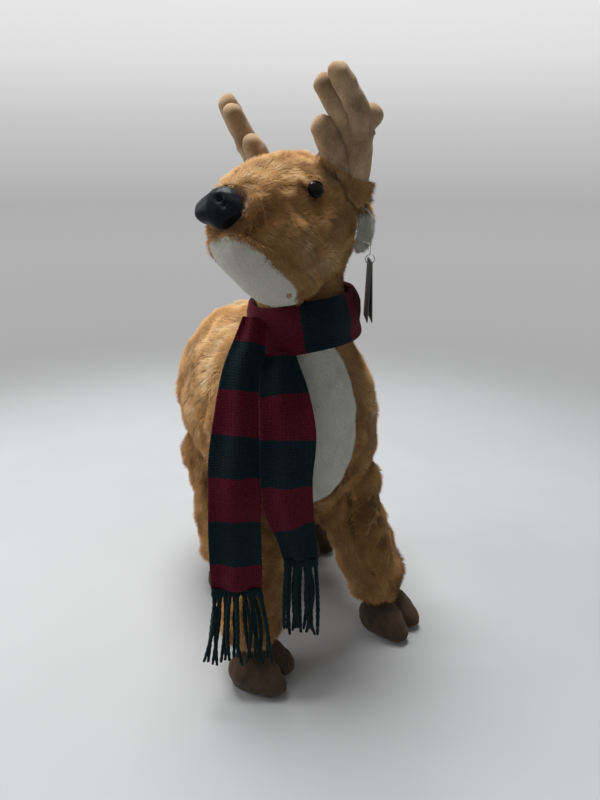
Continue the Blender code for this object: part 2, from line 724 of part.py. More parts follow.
def strip(name, path):
    """Hanging end of the scarf: a flat section with a lengthwise fold, swept down its path."""
    sideways, outward = scarf_axes()
    centre_line = Vector((NECK_FOOT.x, NECK_FOOT.y, 0))
    points = []
    for aside, out, height, _ in path:
        place = sideways * aside + outward * out + Vector((0, 0, height))
        points.append(centre_line + place * MM)
    bm = bmesh.new()
    rings = []
    for i, point in enumerate(points):
        half_width = path[i][3] * MM
        along = Vector((0, 0, -1))
        if i + 1 < len(points):
            along = (points[i + 1] - points[max(i - 1, 0)]).normalized()
        across = (sideways - along * sideways.dot(along)).normalized()
        face = along.cross(across)
        ring = []
        for k in range(SCARF_SIDES):
            turn = math.tau * k / SCARF_SIDES
            x = math.cos(turn) * half_width
            squareness = abs(math.sin(turn)) ** SCARF_EDGE_POWER
            thickness = math.copysign(squareness, math.sin(turn)) * SCARF_HALF_THICKNESS
            fold = SCARF_FOLD_DEPTH * math.cos(math.pi * SCARF_FOLD_WAVES * x / half_width)
            ring.append(bm.verts.new(point + across * x + face * (thickness + fold)))
        rings.append(ring)
    for near, far in zip(rings, rings[1:]):
        for k in range(SCARF_SIDES):
            bm.faces.new((near[k - 1], near[k], far[k], far[k - 1]))
    bm.faces.new(rings[0])
    bm.faces.new(reversed(rings[-1]))
    return add_piece(name, bm), points


def fastener_frame():
    """Frame in the left ear's hole: x across the leaf, y out of the lining, z up."""
    return ear_frame(1) @ Matrix.Translation(Vector((0, 0, -EAR_LENGTH * EAR_HOLE_SHARE)))


def wire(name, points, radius):
    curve = bpy.data.curves.new(name, "CURVE")
    curve.dimensions = "3D"
    curve.bevel_depth = radius
    curve.bevel_resolution = 1
    curve.use_fill_caps = True
    line = curve.splines.new("POLY")
    line.points.add(len(points) - 1)
    for vert, place in zip(line.points, points):
        vert.co = (*place, 1)
    obj = bpy.data.objects.new(name, curve)
    PARTS.objects.link(obj)
    bpy.context.view_layer.update()
    mesh = bpy.data.meshes.new_from_object(obj.evaluated_get(bpy.context.evaluated_depsgraph_get()))
    bpy.data.objects.remove(obj, do_unlink=True)
    bm = bmesh.new()
    bm.from_mesh(mesh)
    bmesh.ops.remove_doubles(bm, verts=bm.verts, dist=MM / 1000)
    return add_piece(name, bm)


def build_fastener(ear, lining):
    """Plastic filament through the ear, with a bar at its back and a ring for the tag."""
    frame = fastener_frame()
    back = -EAR_HALF_THICKNESS - FASTENER_BAR_RADIUS - GAP
    front = LINING_OUT + LINING_HALF_THICKNESS + FASTENER_RADIUS * 2
    half_loop = FASTENER_LOOP_RADIUS
    points = [frame @ Vector((0, back, 0)), frame @ Vector((0, front, 0))]
    points.append(points[-1] + FASTENER_BEND)
    knot = points[-1] - Vector((0, 0, FASTENER_DROP))
    points.append(knot)
    hanging = tag_frame(knot - Vector((0, 0, half_loop)))
    for k in range(1, FASTENER_LOOP_STEPS):
        turn = math.tau * k / FASTENER_LOOP_STEPS
        points.append(hanging @ Vector((0, math.sin(turn) * half_loop, math.cos(turn) * half_loop)))
    fastener = wire("tag_fastener", points, FASTENER_RADIUS)
    bar_ends = [frame @ Vector((side * FASTENER_BAR_HALF, back, 0)) for side in (-1, 1)]
    fuse(fastener, wire("tag_bar", bar_ends, FASTENER_BAR_RADIUS))
    hole_ends = [frame @ Vector((0, side * TAG_WIDTH, 0)) for side in (-1, 1)]
    hole = as_cutter(wire("ear_hole", hole_ends, FASTENER_HOLE_RADIUS))
    cut(ear, hole)
    cut(lining, hole)
    return fastener, hanging @ Vector((0, 0, -half_loop))


def tag_frame(place):
    """Upright frame for the hanging tag: x along its width, y through its faces."""
    return Matrix.Translation(place) @ Matrix.Rotation(TAG_TURN, 4, "Z")


def build_tag(hang_point):
    """Blank folded card that hangs from its hole, its two leaves a little apart."""
    frame = tag_frame(hang_point - Vector((0, 0, TAG_HOLE_RADIUS - FASTENER_RADIUS - 2 * GAP)))
    leaves = []
    for side in (-1, 1):
        bm = bmesh.new()
        bmesh.ops.create_cube(bm, size=1)
        size = Matrix.Diagonal((TAG_WIDTH, TAG_THICKNESS, TAG_LENGTH, 1))
        drop = Matrix.Translation(Vector((0, side * TAG_THICKNESS / 3, -TAG_LENGTH / 2)))
        swing = Matrix.Rotation(side * TAG_OPENING / 2, 4, "X")
        lift = Matrix.Translation(Vector((0, 0, TAG_HOLE_INSET)))
        bmesh.ops.transform(bm, matrix=lift @ swing @ drop @ size, verts=bm.verts)
        leaves.append(add_piece("hang_tag", bm, frame))
    tag = fuse(*leaves)
    ends = [frame @ Vector((0, side * TAG_WIDTH, 0)) for side in (-1, 1)]
    cut(tag, as_cutter(wire("tag_hole", ends, TAG_HOLE_RADIUS)))
    return tag


def build_fringe(name, end, half_width, count):
    """Yarns that hang from a narrow header under a hem."""
    sideways, outward = scarf_axes()
    end = end - Vector((0, 0, GAP))
    bm = bmesh.new()
    bmesh.ops.create_cube(bm, size=1)
    size = Matrix.Diagonal((2 * half_width, 2 * HEADER_HALF_THICKNESS, HEADER_HEIGHT, 1))
    bmesh.ops.transform(bm, matrix=size, verts=bm.verts)
    turn = Matrix((sideways, -outward, Vector((0, 0, 1)))).transposed().to_4x4()
    place = end - Vector((0, 0, HEADER_HEIGHT / 2))
    fringe = add_piece(name, bm, Matrix.Translation(place) @ turn)
    for k in range(count):
        share = (2 * k + 1) / count - 1
        top = end + sideways * share * (half_width - YARN_RADIUS)
        tip = top + sideways * share * half_width * (FRINGE_SPREAD_SHARE - 1)
        tip += outward * FRINGE_FORWARD
        shorter = FRINGE_UNEVEN_SHARE * (k * FRINGE_STRIDE % FRINGE_LEVELS) / FRINGE_LEVELS
        tip.z -= FRINGE_LENGTH * (1 - shorter)
        top.z -= HEADER_HEIGHT / 2
        middle = (top * 2 + tip) / 3 + outward * YARN_RADIUS * (-1 if k % 2 else 1)
        yarn = limb(name, (top, middle, tip), [YARN_RADIUS] * 3, sides=YARN_SIDES, levels=0)
        fuse(fringe, yarn)
    return fringe


# Assembly
def build_all():
    tan = make_material("tan_plush", TAN, 0.95)
    white = make_material("white_plush", WHITE, 0.95)
    hoof_cloth = make_material("hoof_suede", HOOF_BROWN, 0.9)
    antler_cloth = make_material("antler_suede", ANTLER_BROWN, 0.9)
    nose_cloth = make_material("nose_cloth", NOSE_BLUE_BLACK, 0.6)
    eye_plastic = make_material("eye_plastic", EYE_BLACK, 0.08)
    washer_plastic = make_material("washer_plastic", WASHER_WHITE, 0.5)
    knit = make_material("crimson_knit", CRIMSON, 0.95)
    yarn = make_material("green_yarn", GREEN, 0.95)
    card = make_material("blank_card", CARD, 0.8)
    clear_plastic = make_material("clear_plastic", CLEAR_PLASTIC, 0.3)

    body, bib, swing_room, seat_room = build_body()
    for key, (shoulder, ankle, turn) in LEGS.items():
        leg, leg_room = build_leg("leg_" + key, shoulder, ankle, swing_room)
        socket = as_cutter(ball("socket_" + key, shoulder, LEG_BALL_RADIUS + BALL_GAP))
        cut(body, socket)
        cut(bib, socket)
        hoof = build_hoof("hoof_" + key, ankle, turn, leg_room)
        dress(leg, tan, shoulder)
        dress(hoof, hoof_cloth, shoulder)
    tail = build_tail(seat_room)
    dress(tail, tan, TAIL_ROOT + Vector((0, 0, TAIL_HINGE_RISE)))
    dress(body, tan, NECK_SEAM)
    dress(bib, white, NECK_SEAM)

    head, chin, head_rooms = build_head()
    nose = build_nose(head)
    cut(chin, bpy.data.objects["nose_bed"])
    for side_name, side in (("left", 1), ("right", -1)):
        eye, washer = build_eye(side_name, side, head)
        ear, lining = build_ear(side_name, side, head_rooms)
        antler = build_antler(side_name, side, head_rooms[0])
        for turned_room in swept_rooms(antler, side_name, side):
            cut(ear, turned_room)
            cut(lining, turned_room)
        ear_root = HEAD @ Vector((side * EAR_ROOT.x, EAR_ROOT.y, EAR_ROOT.z))
        dress(eye, eye_plastic, NECK_SEAM)
        dress(washer, washer_plastic, NECK_SEAM)
        if side_name == "left":
            fastener, hang_point = build_fastener(ear, lining)
            cut(head, as_cutter(ball("fastener_room", fastener_frame() @ FASTENER_ROOM_PLACE, FASTENER_ROOM_RADIUS)))
            dress(fastener, clear_plastic, ear_root)
            dress(build_tag(hang_point), card, hang_point)
        dress(ear, tan, ear_root)
        dress(lining, white, ear_root)
        dress(antler, antler_cloth, NECK_SEAM)
    dress(head, tan, NECK_SEAM)
    dress(chin, white, NECK_SEAM)
    dress(nose, nose_cloth, NECK_SEAM)

    wrap = build_wrap()
    cut(wrap, seat_room)
    wrap_room = grown_copy(wrap, GAP, "wrap_room")
    for key, path, count in (("long", LONG_END_PATH, LONG_YARN_COUNT), ("short", SHORT_END_PATH, SHORT_YARN_COUNT)):
        hanging, points = strip("scarf_end_" + key, path)
        cut(hanging, wrap_room)
        cut(hanging, seat_room)
        fringe = build_fringe("fringe_" + key, points[-1], path[-1][3] * MM, count)
        dress(hanging, knit, points[0])
        dress(fringe, yarn, points[0])
    dress(wrap, knit, NECK_SEAM)


def stand_on_origin():
    """Shift the toy so that the middle of its box stands on the origin; print the joint origins."""
    bpy.context.view_layer.update()
    corners = []
    for obj in PARTS.objects:
        if obj.type == "MESH":
            corners += [obj.matrix_world @ vert.co for vert in obj.data.vertices]
    low = Vector([min(corner[axis] for corner in corners) for axis in range(3)])
    high = Vector([max(corner[axis] for corner in corners) for axis in range(3)])
    middle = (low + high) / 2
    ROOT.location = -Vector((middle.x, middle.y, low.z))
    bpy.context.view_layer.update()
    print("size", [round(length, 4) for length in high - low])
    for obj in PARTS.objects:
        print(obj.name, [round(place, 4) for place in obj.matrix_world.translation])


reset_scene()
PARTS = make_collection("plush_deer")
CUTTERS = make_collection("cutters")
ROOT = bpy.data.objects.new("deer", None)
PARTS.objects.link(ROOT)
NECK_SEAM = NECK_FOOT + NECK_AXIS * NECK_SEAM_HEIGHT
HEAD = head_matrix()
build_all()
stand_on_origin()
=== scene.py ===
import json
import math
from collections import namedtuple

import bmesh
import bpy
import numpy as np
from mathutils import Matrix, Vector
from mathutils.bvhtree import BVHTree
from mathutils.kdtree import KDTree

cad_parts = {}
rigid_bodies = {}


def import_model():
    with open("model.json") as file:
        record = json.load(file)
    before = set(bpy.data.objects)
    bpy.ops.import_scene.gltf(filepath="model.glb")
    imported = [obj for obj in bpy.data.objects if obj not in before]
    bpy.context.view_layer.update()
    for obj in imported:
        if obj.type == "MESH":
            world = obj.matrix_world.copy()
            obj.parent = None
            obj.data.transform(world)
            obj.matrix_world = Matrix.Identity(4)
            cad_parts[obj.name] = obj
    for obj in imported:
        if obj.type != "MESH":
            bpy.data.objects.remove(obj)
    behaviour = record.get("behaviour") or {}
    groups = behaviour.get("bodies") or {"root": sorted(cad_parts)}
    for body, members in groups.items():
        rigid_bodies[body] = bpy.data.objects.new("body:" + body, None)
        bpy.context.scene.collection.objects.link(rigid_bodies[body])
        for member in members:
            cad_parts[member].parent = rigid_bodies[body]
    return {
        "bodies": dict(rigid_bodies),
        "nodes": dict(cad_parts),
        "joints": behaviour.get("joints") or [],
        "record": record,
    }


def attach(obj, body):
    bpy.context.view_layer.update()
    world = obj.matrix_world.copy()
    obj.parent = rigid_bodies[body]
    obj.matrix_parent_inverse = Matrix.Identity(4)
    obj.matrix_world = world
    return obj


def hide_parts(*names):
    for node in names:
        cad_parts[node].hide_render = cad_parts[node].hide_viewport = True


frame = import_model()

MM = 0.001
NODES = frame["nodes"]
JOINTS = {joint["name"]: joint for joint in frame["joints"]}
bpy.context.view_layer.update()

# The part's own coordinates, as part.py gives them, and where they lie in the frame
UP = np.array((0, 0, 1))
NECK_AXIS = Vector((-0.14, 0.06, 1.0)).normalized()
NECK_SEAM = Vector(JOINTS["head_turn"]["pos_m"])
NECK_SEAM_IN_PART = Vector((-14.15, -41.22, 374.65)) * MM
SHIFT = NECK_SEAM - NECK_SEAM_IN_PART
HEAD_CENTRE = Vector((-10, -42, 471)) * MM
HEAD_TURN = math.radians(-64)
HEAD_TILT = math.radians(-15)
HEAD_ROLL = math.radians(-9)

# The camera, in the part's coordinates
CAMERA_PLACE = Vector((-310, -611, 524)) * MM
CAMERA_YAW = math.radians(27)
CAMERA_PITCH = math.radians(20)
IMAGE_HEIGHT_PX = 800
FOCUS_PX = 647
SENSOR_MM = 36
CLIP_START = 0.02

# Cloth skins in mm, with rounds of smoothing, and how full each is stuffed; those under long pile are sunk
# by a part of its height
Skin = namedtuple("Skin", "voxel smoothing sink bumps bump_size fill")
BODY_SKIN = Skin(4, 6, 3, 1.4, 34, 0.9)
BIB_SKIN = Skin(1.3, 2, -0.8, 0.3, 20, 0.5)
LEG_SKIN = Skin(4, 8, 3, 1.3, 26, 0.9)
TAIL_SKIN = Skin(1.8, 4, 1, 0.3, 20, 0.9)
HEAD_SKIN = Skin(3, 6, 2.5, 0.9, 24, 0.95)
CHIN_SKIN = Skin(2, 4, 0.2, 0.2, 24, 0.95)
EAR_SKIN = Skin(1.5, 3, 0.3, 0.2, 12, 0.3)
LINING_SKIN = Skin(1.2, 2, 0, 0.1, 12, 0.3)
HOOF_SKIN = Skin(1.8, 3, 0, 0.35, 14, 0.95)
NOSE_SKIN = Skin(0.9, 6, 0, 0, 14, 1.0)
EASE_FACTOR = 0.5
WELD = 0.01 * MM
WAVES = 24
WAVE_SPREAD = (0.7, 1.5)

# Pile in mm: how far apart its tufts stand, their length and radius, the share by which they rise from the
# skin, the size of its locks, and the share of the way that a lock draws its tips together
Pile = namedtuple("Pile", "spacing length radius rise lock pull")
BODY_PILE = Pile(1.5, 9.5, 0.42, 0.38, 11, 0.22)
LEG_PILE = Pile(1.5, 9, 0.42, 0.36, 10, 0.22)
TAIL_PILE = Pile(1.4, 9, 0.42, 0.4, 8, 0.25)
HEAD_PILE = Pile(1.2, 7, 0.36, 0.38, 8, 0.2)
ROOT_PILE = Pile(1.1, 10, 0.4, 0.55, 8, 0.2)
PUFF_PILE = Pile(1.1, 9, 0.4, 0.5, 8, 0.25)
EAR_PILE = Pile(1.1, 3.6, 0.36, 0.2, 7, 0.1)
BIB_PILE = Pile(1.1, 3.6, 0.4, 0.3, 9, 0)
CHIN_PILE = Pile(0.9, 3, 0.38, 0.3, 9, 0)
LINING_PILE = Pile(1.0, 5, 0.38, 0.42, 6, 0.1)
BURY = 1.2 * MM
LOCK_EDGE_PAINTED_SHADE = 0.45
COMB_SPREAD = 0.2
LENGTH_SPREAD = (0.72, 1.2)
RISE_SPREAD = (0.65, 1.45)
RADIUS_SPREAD = (0.8, 1.2)
LEAN_SHARE = 0.36
SPOKE_SHARE = 0.12
TONE_SPREAD = 0.035
STRAY_SHARE = 0.008
STRAY_TONE = 0.3
TUFT_SIDES = 3
TONE_LIMITS = (0.02, 0.98)
TONE_WIDTH = 0.004
ROOT_PLACE = 0.03
TIP_PLACE = 0.97
TAIL_MARGIN = 0.6 * MM
PARITY_STEP = 0.05 * MM
PARITY_HITS = 12

SEED = 7
SIDES = (("left", 1), ("right", -1))
# Far below any real length, so that no division is by nothing
TINY = 1e-12
NUDGE = 1e-9


# Meshes
def add_object(name, data):
    obj = bpy.data.objects.new(name, data)
    bpy.context.scene.collection.objects.link(obj)
    return obj


def settle(obj):
    """Replace the object's mesh by its evaluated one and drop the modifiers."""
    bpy.context.view_layer.update()
    depsgraph = bpy.context.evaluated_depsgraph_get()
    mesh = bpy.data.meshes.new_from_object(obj.evaluated_get(depsgraph))
    obj.modifiers.clear()
    obj.data = mesh
    return obj


def places_of(mesh):
    places = np.empty(len(mesh.vertices) * 3)
    mesh.vertices.foreach_get("co", places)
    return places.reshape(-1, 3)


def normals_of(mesh):
    normals = np.empty(len(mesh.vertices) * 3)
    mesh.vertex_normals.foreach_get("vector", normals)
    return normals.reshape(-1, 3)


def set_places(mesh, places):
    mesh.vertices.foreach_set("co", places.ravel())
    mesh.update()


def push_out(mesh, push, shift=0):
    """Move each corner along its normal, and all of them by the shift."""
    set_places(mesh, places_of(mesh) + normals_of(mesh) * push[:, None] + shift)


def finished_mesh(bm, name):
    """New mesh from a bmesh, which is freed."""
    mesh = bpy.data.meshes.new(name)
    bm.to_mesh(mesh)
    bm.free()
    return mesh


def unit(rows):
    return rows / np.maximum(np.linalg.norm(rows, axis=1, keepdims=True), TINY)


def flat_part(ways, normals):
    """The ways without what of them goes along the normals."""
    return ways - normals * (ways * normals).sum(axis=1, keepdims=True)


def lumps(points, size, seed):
    """Smooth bumps of about one size with a spread of one, as a sum of waves."""
    rng = np.random.default_rng(seed)
    total = np.zeros(len(points))
    for _ in range(WAVES):
        way = rng.normal(size=3)
        way /= np.linalg.norm(way)
        length = size * rng.uniform(*WAVE_SPREAD)
        total += np.sin(points @ way * (math.tau / length) + rng.uniform(0, math.tau))
    return total / math.sqrt(WAVES / 2)


def joined_mesh(name, nodes):
    bm = bmesh.new()
    for node in nodes:
        bm.from_mesh(NODES[node].data)
    bmesh.ops.remove_doubles(bm, verts=bm.verts, dist=WELD)
    return finished_mesh(bm, name)


def cloth_copy(name, nodes, skin):
    """Smooth closed skin over CAD nodes, with soft lumps, sunk a little where pile stands on it."""
    obj = add_object(name, joined_mesh(name, nodes))
    remesh = obj.modifiers.new("Even faces", "REMESH")
    remesh.mode = "VOXEL"
    remesh.voxel_size = skin.voxel * MM
    ease = obj.modifiers.new("Ease", "SMOOTH")
    ease.factor = EASE_FACTOR
    ease.iterations = skin.smoothing
    mesh = settle(obj).data
    bumps = skin.bumps * MM * lumps(places_of(mesh), skin.bump_size * MM, SEED)
    push_out(mesh, bumps - skin.sink * MM)
    mesh.shade_smooth()
    return obj


def dress(obj, material, body, nodes=()):
    obj.data.materials.clear()
    obj.data.materials.append(material)
    if nodes:
        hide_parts(*nodes)
    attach(obj, body)


def stuffed_cloth(name, node, skin, body, cloth, *others):
    """Stuffed skin in place of a CAD node; the others only help to shape it."""
    obj = cloth_copy(name, [node, *others], skin)
    dress(obj, cloth.backing, body, [node])
    return obj


def solid_trees(nodes):
    """A search tree for each CAD node, with its box, for finding what it covers."""
    trees = []
    for node in nodes:
        bm = bmesh.new()
        bm.from_mesh(NODES[node].data)
        places = places_of(NODES[node].data)
        trees.append((BVHTree.FromBMesh(bm), places.min(axis=0), places.max(axis=0)))
        bm.free()
    return trees


def is_inside(point, way, tree):
    """Whether a ray from the point leaves the tree's solid an odd number of times."""
    hits = 0
    while hits < PARITY_HITS:
        place, _, _, _ = tree.ray_cast(point, way)
        if place is None:
            break
        hits += 1
        point = place + way * PARITY_STEP
    return hits % 2 == 1


def covered(points, ways, trees, margin):
    """Whether each point is in one of the trees' solids or within the margin of it."""
    hidden = np.zeros(len(points), bool)
    for tree, low, high in trees:
        near_box = ((points > low - margin) & (points < high + margin)).all(axis=1)
        for i in np.flatnonzero(near_box & ~hidden):
            point = Vector(points[i])
            near, normal, _, distance = tree.find_nearest(point)
            behind = (point - near).dot(normal) < 0
            hidden[i] = distance < margin or (behind and is_inside(point, Vector(ways[i]), tree))
    return hidden


# Pile
def scatter(mesh, spacing, rng):
    """Places and smooth normals spread over a mesh, one to each square of the spacing."""
    mesh.calc_loop_triangles()
    corners = np.empty(len(mesh.loop_triangles) * 3, int)
    mesh.loop_triangles.foreach_get("vertices", corners)
    corners = corners.reshape(-1, 3)
    places = places_of(mesh)
    a, b, c = (places[corners[:, k]] for k in range(3))
    areas = np.linalg.norm(np.cross(b - a, c - a), axis=1) / 2
    reach = np.cumsum(areas)
    count = int(reach[-1] / spacing**2)
    picks = (np.arange(count) + rng.random(count)) * reach[-1] / count
    faces = corners[np.searchsorted(reach, picks).clip(0, len(corners) - 1)]
    far = np.sqrt(rng.random(count))
    side = rng.random(count)
    shares = np.stack([1 - far, far * (1 - side), far * side], axis=1)[:, :, None]
    spots = (places[faces] * shares).sum(axis=1)
    return spots, unit((normals_of(mesh)[faces] * shares).sum(axis=1))


def gather(spots, tips, pile, rng):
    """Draw the tips into locks; also how far each spot is from its lock's middle, for the painted shade
    between locks.
    """
    count = max(1, int(len(spots) * (pile.spacing / pile.lock) ** 2))
    chosen = rng.choice(len(spots), count, replace=False)
    tree = KDTree(count)
    for i, k in enumerate(chosen):
        tree.insert(spots[k], i)
    tree.balance()
    found = [tree.find(spot) for spot in spots]
    middle = chosen[np.array([index for _, index, _ in found])]
    away = np.array([distance for _, _, distance in found]) / (pile.lock * MM)
    return tips + (tips[middle] - tips) * pile.pull, (away - away.mean()) * pile.pull


def tuft_rings(roots, tips, normals, radii):
    """Corners of each tuft's foot, and the spokes to them."""
    side = unit(np.cross(normals, tips - roots) + NUDGE)
    up = unit(np.cross(side, unit(tips - roots)))
    rings, spokes = [], []
    for k in range(TUFT_SIDES):
        turn = math.tau * k / TUFT_SIDES
        spoke = side * math.cos(turn) + up * math.sin(turn)
        rings.append(roots + spoke * radii[:, None])
        spokes.append(spoke)
    return rings, spokes


def tuft_map(count, corners, tone):
    """Each tuft's map: its tone across, and the way from root to tip along."""
    across = np.append(np.linspace(-TONE_WIDTH, TONE_WIDTH, TUFT_SIDES), 0.0)
    along = np.append(np.full(TUFT_SIDES, ROOT_PLACE), TIP_PLACE)[corners]
    along[1] = ROOT_PLACE / 2
    maps = np.empty((count, len(corners), 2))
    maps[:, :, 0] = tone[:, None].clip(*TONE_LIMITS) + across[corners]
    maps[:, :, 1] = along
    return maps


def tuft_mesh(name, roots, tips, normals, radii, tone):
    """One mesh of closed pointed tufts, shaded as fibres that lean: the skin's normal, tilted back."""
    count = len(roots)
    rings, spokes = tuft_rings(roots, tips, normals, radii)
    verts = np.stack(rings + [tips], axis=1)
    lean = unit(flat_part(tips - roots, normals))
    soft = unit(normals - lean * LEAN_SHARE)
    shade = [unit(soft + spoke * SPOKE_SHARE) for spoke in spokes] + [soft]
    tip = TUFT_SIDES
    faces = [(0, 1, 2), (1, 0, tip), (2, 1, tip), (0, 2, tip)]
    corners = np.array([corner for face in faces for corner in face])
    starts = np.arange(len(faces)) * TUFT_SIDES
    mesh = bpy.data.meshes.new(name)
    mesh.vertices.add(count * (TUFT_SIDES + 1))
    mesh.loops.add(count * len(corners))
    mesh.polygons.add(count * len(faces))
    mesh.vertices.foreach_set("co", verts.ravel())
    steps = np.arange(count)[:, None]
    mesh.loops.foreach_set("vertex_index", (steps * (TUFT_SIDES + 1) + corners).ravel())
    mesh.polygons.foreach_set("loop_start", (steps * len(corners) + starts).ravel())
    mesh.update(calc_edges=True)
    layer = mesh.uv_layers.new(name="OFBake")
    layer.uv.foreach_set("vector", tuft_map(count, corners, tone).ravel())
    mesh.shade_smooth()
    mesh.normals_split_custom_set_from_vertices(np.stack(shade, axis=1).reshape(-1, 3))
    return mesh


def tuft_tones(tone, away, rng):
    """Tone of each tuft: lighter at a lock's middle and darker towards its edge, as painted shade between
    locks, and a few strays much darker or lighter.
    """
    count = len(away)
    stray = np.where(rng.random(count) < STRAY_SHARE, rng.choice([-1, 1], count) * STRAY_TONE, 0)
    return tone + rng.normal(size=count) * TONE_SPREAD - away * LOCK_EDGE_PAINTED_SHADE + stray


def grow(name, skin, pile, comb, tone, covers, margin=0, keep=None):
    """Pile on a skin. comb and tone are functions of the spots; keep drops the spots it is false for."""
    rng = np.random.default_rng(SEED)
    spots, normals = scatter(skin.data, pile.spacing * MM, rng)
    if keep is not None:
        chosen = keep(spots, normals)
        spots, normals = spots[chosen], normals[chosen]
    trees = solid_trees(covers)
    free = ~covered(spots + normals * (pile.length * MM) * pile.rise, normals, trees, margin)
    spots, normals = spots[free], normals[free]
    way = unit(flat_part(comb(spots), normals))
    way = unit(flat_part(way + rng.normal(size=way.shape) * COMB_SPREAD, normals))
    reach = pile.length * MM * rng.uniform(*LENGTH_SPREAD, len(spots))[:, None]
    rise = pile.rise * rng.uniform(*RISE_SPREAD, len(spots))[:, None]
    tips = spots + (normals * rise + way * np.sqrt(1 - rise**2)) * reach
    drawn, away = gather(spots, tips, pile, rng)
    radii = pile.radius * MM * rng.uniform(*RADIUS_SPREAD, len(spots))
    shade = tuft_tones(tone(spots), away, rng)
    return add_object(name, tuft_mesh(name, spots - normals * BURY, drawn, normals, radii, shade))


def add_pile(name, skin, body, cloth, *rules, **more):
    """Pile of one cloth on a skin, by the rules that grow takes."""
    dress(grow(name, skin, *rules, **more), cloth.fur, body)


# Swept forms: pitch of their rings in mm, steps of the curve to a given row, and limits of their map
ROW_PITCH = 0.8
FINE_ROWS = 60
MAP_LIMITS = (0.001, 0.999)


def ring_turns(sides):
    """Angles of a ring's corners."""
    return math.tau * np.arange(sides) / sides


def squared(values, power):
    """A wave between -1 and 1 made squarer."""
    return np.sign(values) * np.abs(values) ** power


def swept(name, rings, along, loop=False):
    """Mesh of a closed skin over a row of rings. Its map goes round each ring and along the row."""
    rows, sides = rings.shape[:2]
    faces, maps = [], []
    for i in range(rows if loop else rows - 1):
        j = (i + 1) % rows
        for k in range(sides):
            m = (k + 1) % sides
            faces.append((i * sides + k, i * sides + m, j * sides + m, j * sides + k))
            for turn, way in ((k, i), (k + 1, i), (k + 1, i + 1), (k, i + 1)):
                maps.append((turn / sides, along[way]))
    if not loop:
        for start, way in ((0, 0), ((rows - 1) * sides, -1)):
            faces.append([start + k for k in range(sides)])
            maps += [(k / sides, along[way] + TONE_WIDTH * (k % 2)) for k in range(sides)]
    mesh = bpy.data.meshes.new(name)
    mesh.from_pydata(rings.reshape(-1, 3).tolist(), [], faces)
    layer = mesh.uv_layers.new(name="OFBake")
    layer.uv.foreach_set("vector", np.array(maps).clip(*MAP_LIMITS).ravel())
    bm = bmesh.new()
    bm.from_mesh(mesh)
    bmesh.ops.recalc_face_normals(bm, faces=bm.faces)
    bm.to_mesh(mesh)
    bm.free()
    mesh.shade_smooth()
    return mesh


def smooth_rows(rows):
    """Rows a pitch apart on the smooth curve through the given ones; three columns are places."""
    rows = np.array(rows, float)
    ends = np.vstack([2 * rows[0] - rows[1], rows, 2 * rows[-1] - rows[-2]])
    at = np.linspace(0, len(rows) - 1, FINE_ROWS * len(rows))
    i = np.minimum(at.astype(int), len(rows) - 2)
    t = (at - i)[:, None]
    p, q, r, s = ends[i], ends[i + 1], ends[i + 2], ends[i + 3]
    fine = (2 * q + (r - p) * t + (2 * p - 5 * q + 4 * r - s) * t**2 + (3 * q - p - 3 * r + s) * t**3) / 2
    run = np.concatenate([[0], np.cumsum(np.linalg.norm(np.diff(fine[:, :3], axis=0), axis=1))])
    even = np.arange(0, run[-1], ROW_PITCH)
    return np.stack([np.interp(even, run, fine[:, k]) for k in range(fine.shape[1])], axis=1), even


# Places
def head_matrix():
    turn = Matrix.Rotation(HEAD_TURN, 4, "Z")
    tilt = Matrix.Rotation(HEAD_TILT, 4, "X")
    roll = Matrix.Rotation(HEAD_ROLL, 4, "Y")
    return Matrix.Translation(HEAD_CENTRE + SHIFT) @ turn @ roll @ tilt


HEAD = head_matrix()


def in_frame(matrix, points):
    """Points in a frame's own coordinates."""
    inverse = np.array(matrix.inverted())
    return points @ inverse[:3, :3].T + inverse[:3, 3]


def in_part(points):
    """Points in the part's own coordinates, in mm."""
    return (points - np.array(SHIFT)) / MM


def in_half_head(points):
    """Points in the head's frame, with its right half folded onto the left one."""
    local = in_frame(HEAD, points)
    local[:, 0] = np.abs(local[:, 0])
    return local


def swirled(way, points, size, share):
    """A direction with slow swirls added."""
    swirl = np.stack([lumps(points, size, SEED + axis) for axis in range(3)], axis=1)
    return unit(np.broadcast_to(way, points.shape)) + swirl * share


def spread(points, centre, size):
    """Share, from 1 at the centre to 0 far away."""
    away = np.linalg.norm(points - np.array(centre), axis=1) / size
    return np.exp(-(away**2))


def heights_at(points, rows):
    """Sum of soft spots: each row is a centre, a size and the height at the centre."""
    return sum(spread(points, centre, size) * height for centre, size, height in rows)


def root_frame(side, root, across, face, up):
    """Frame at a root on one side of the head, from its three directions."""
    turn = Matrix((across, face, up)).transposed().to_4x4()
    return HEAD @ Matrix.Translation((side * root.x, root.y, root.z)) @ turn


# Shader nodes
NEW_STOP_PLACE = 0.5
PAIR_PLACES = (0.3, 0.7)
NOISE_ROUGHNESS = 0.6
NOISE_DETAIL = 3.0
FINE_DETAIL = 2.0


def add_node(tree, kind, sockets=None, **settings):
    """New shader node of a kind; a socket given as a value is linked."""
    node = tree.nodes.new("ShaderNode" + kind)
    for name, value in settings.items():
        setattr(node, name, value)
    for name, value in (sockets or {}).items():
        if isinstance(value, bpy.types.NodeSocket):
            tree.links.new(value, node.inputs[name])
        else:
            node.inputs[name].default_value = value
    return node


def calculate(tree, operation, *values):
    return add_node(tree, "Math", dict(enumerate(values)), operation=operation).outputs[0]


def grey(level):
    return (level, level, level)


def ramp(tree, factor, stops):
    node = add_node(tree, "ValToRGB", {"Fac": factor})
    elements = node.color_ramp.elements
    while len(elements) < len(stops):
        elements.new(NEW_STOP_PLACE)
    for element, (place, colour) in zip(elements, stops):
        element.position = place
        element.color = (*colour, 1.0)
    return node.outputs["Color"]


def pair_ramp(tree, factor, pair, places=PAIR_PLACES):
    """Ramp from a dark to a light colour."""
    return ramp(tree, factor, tuple(zip(places, pair)))


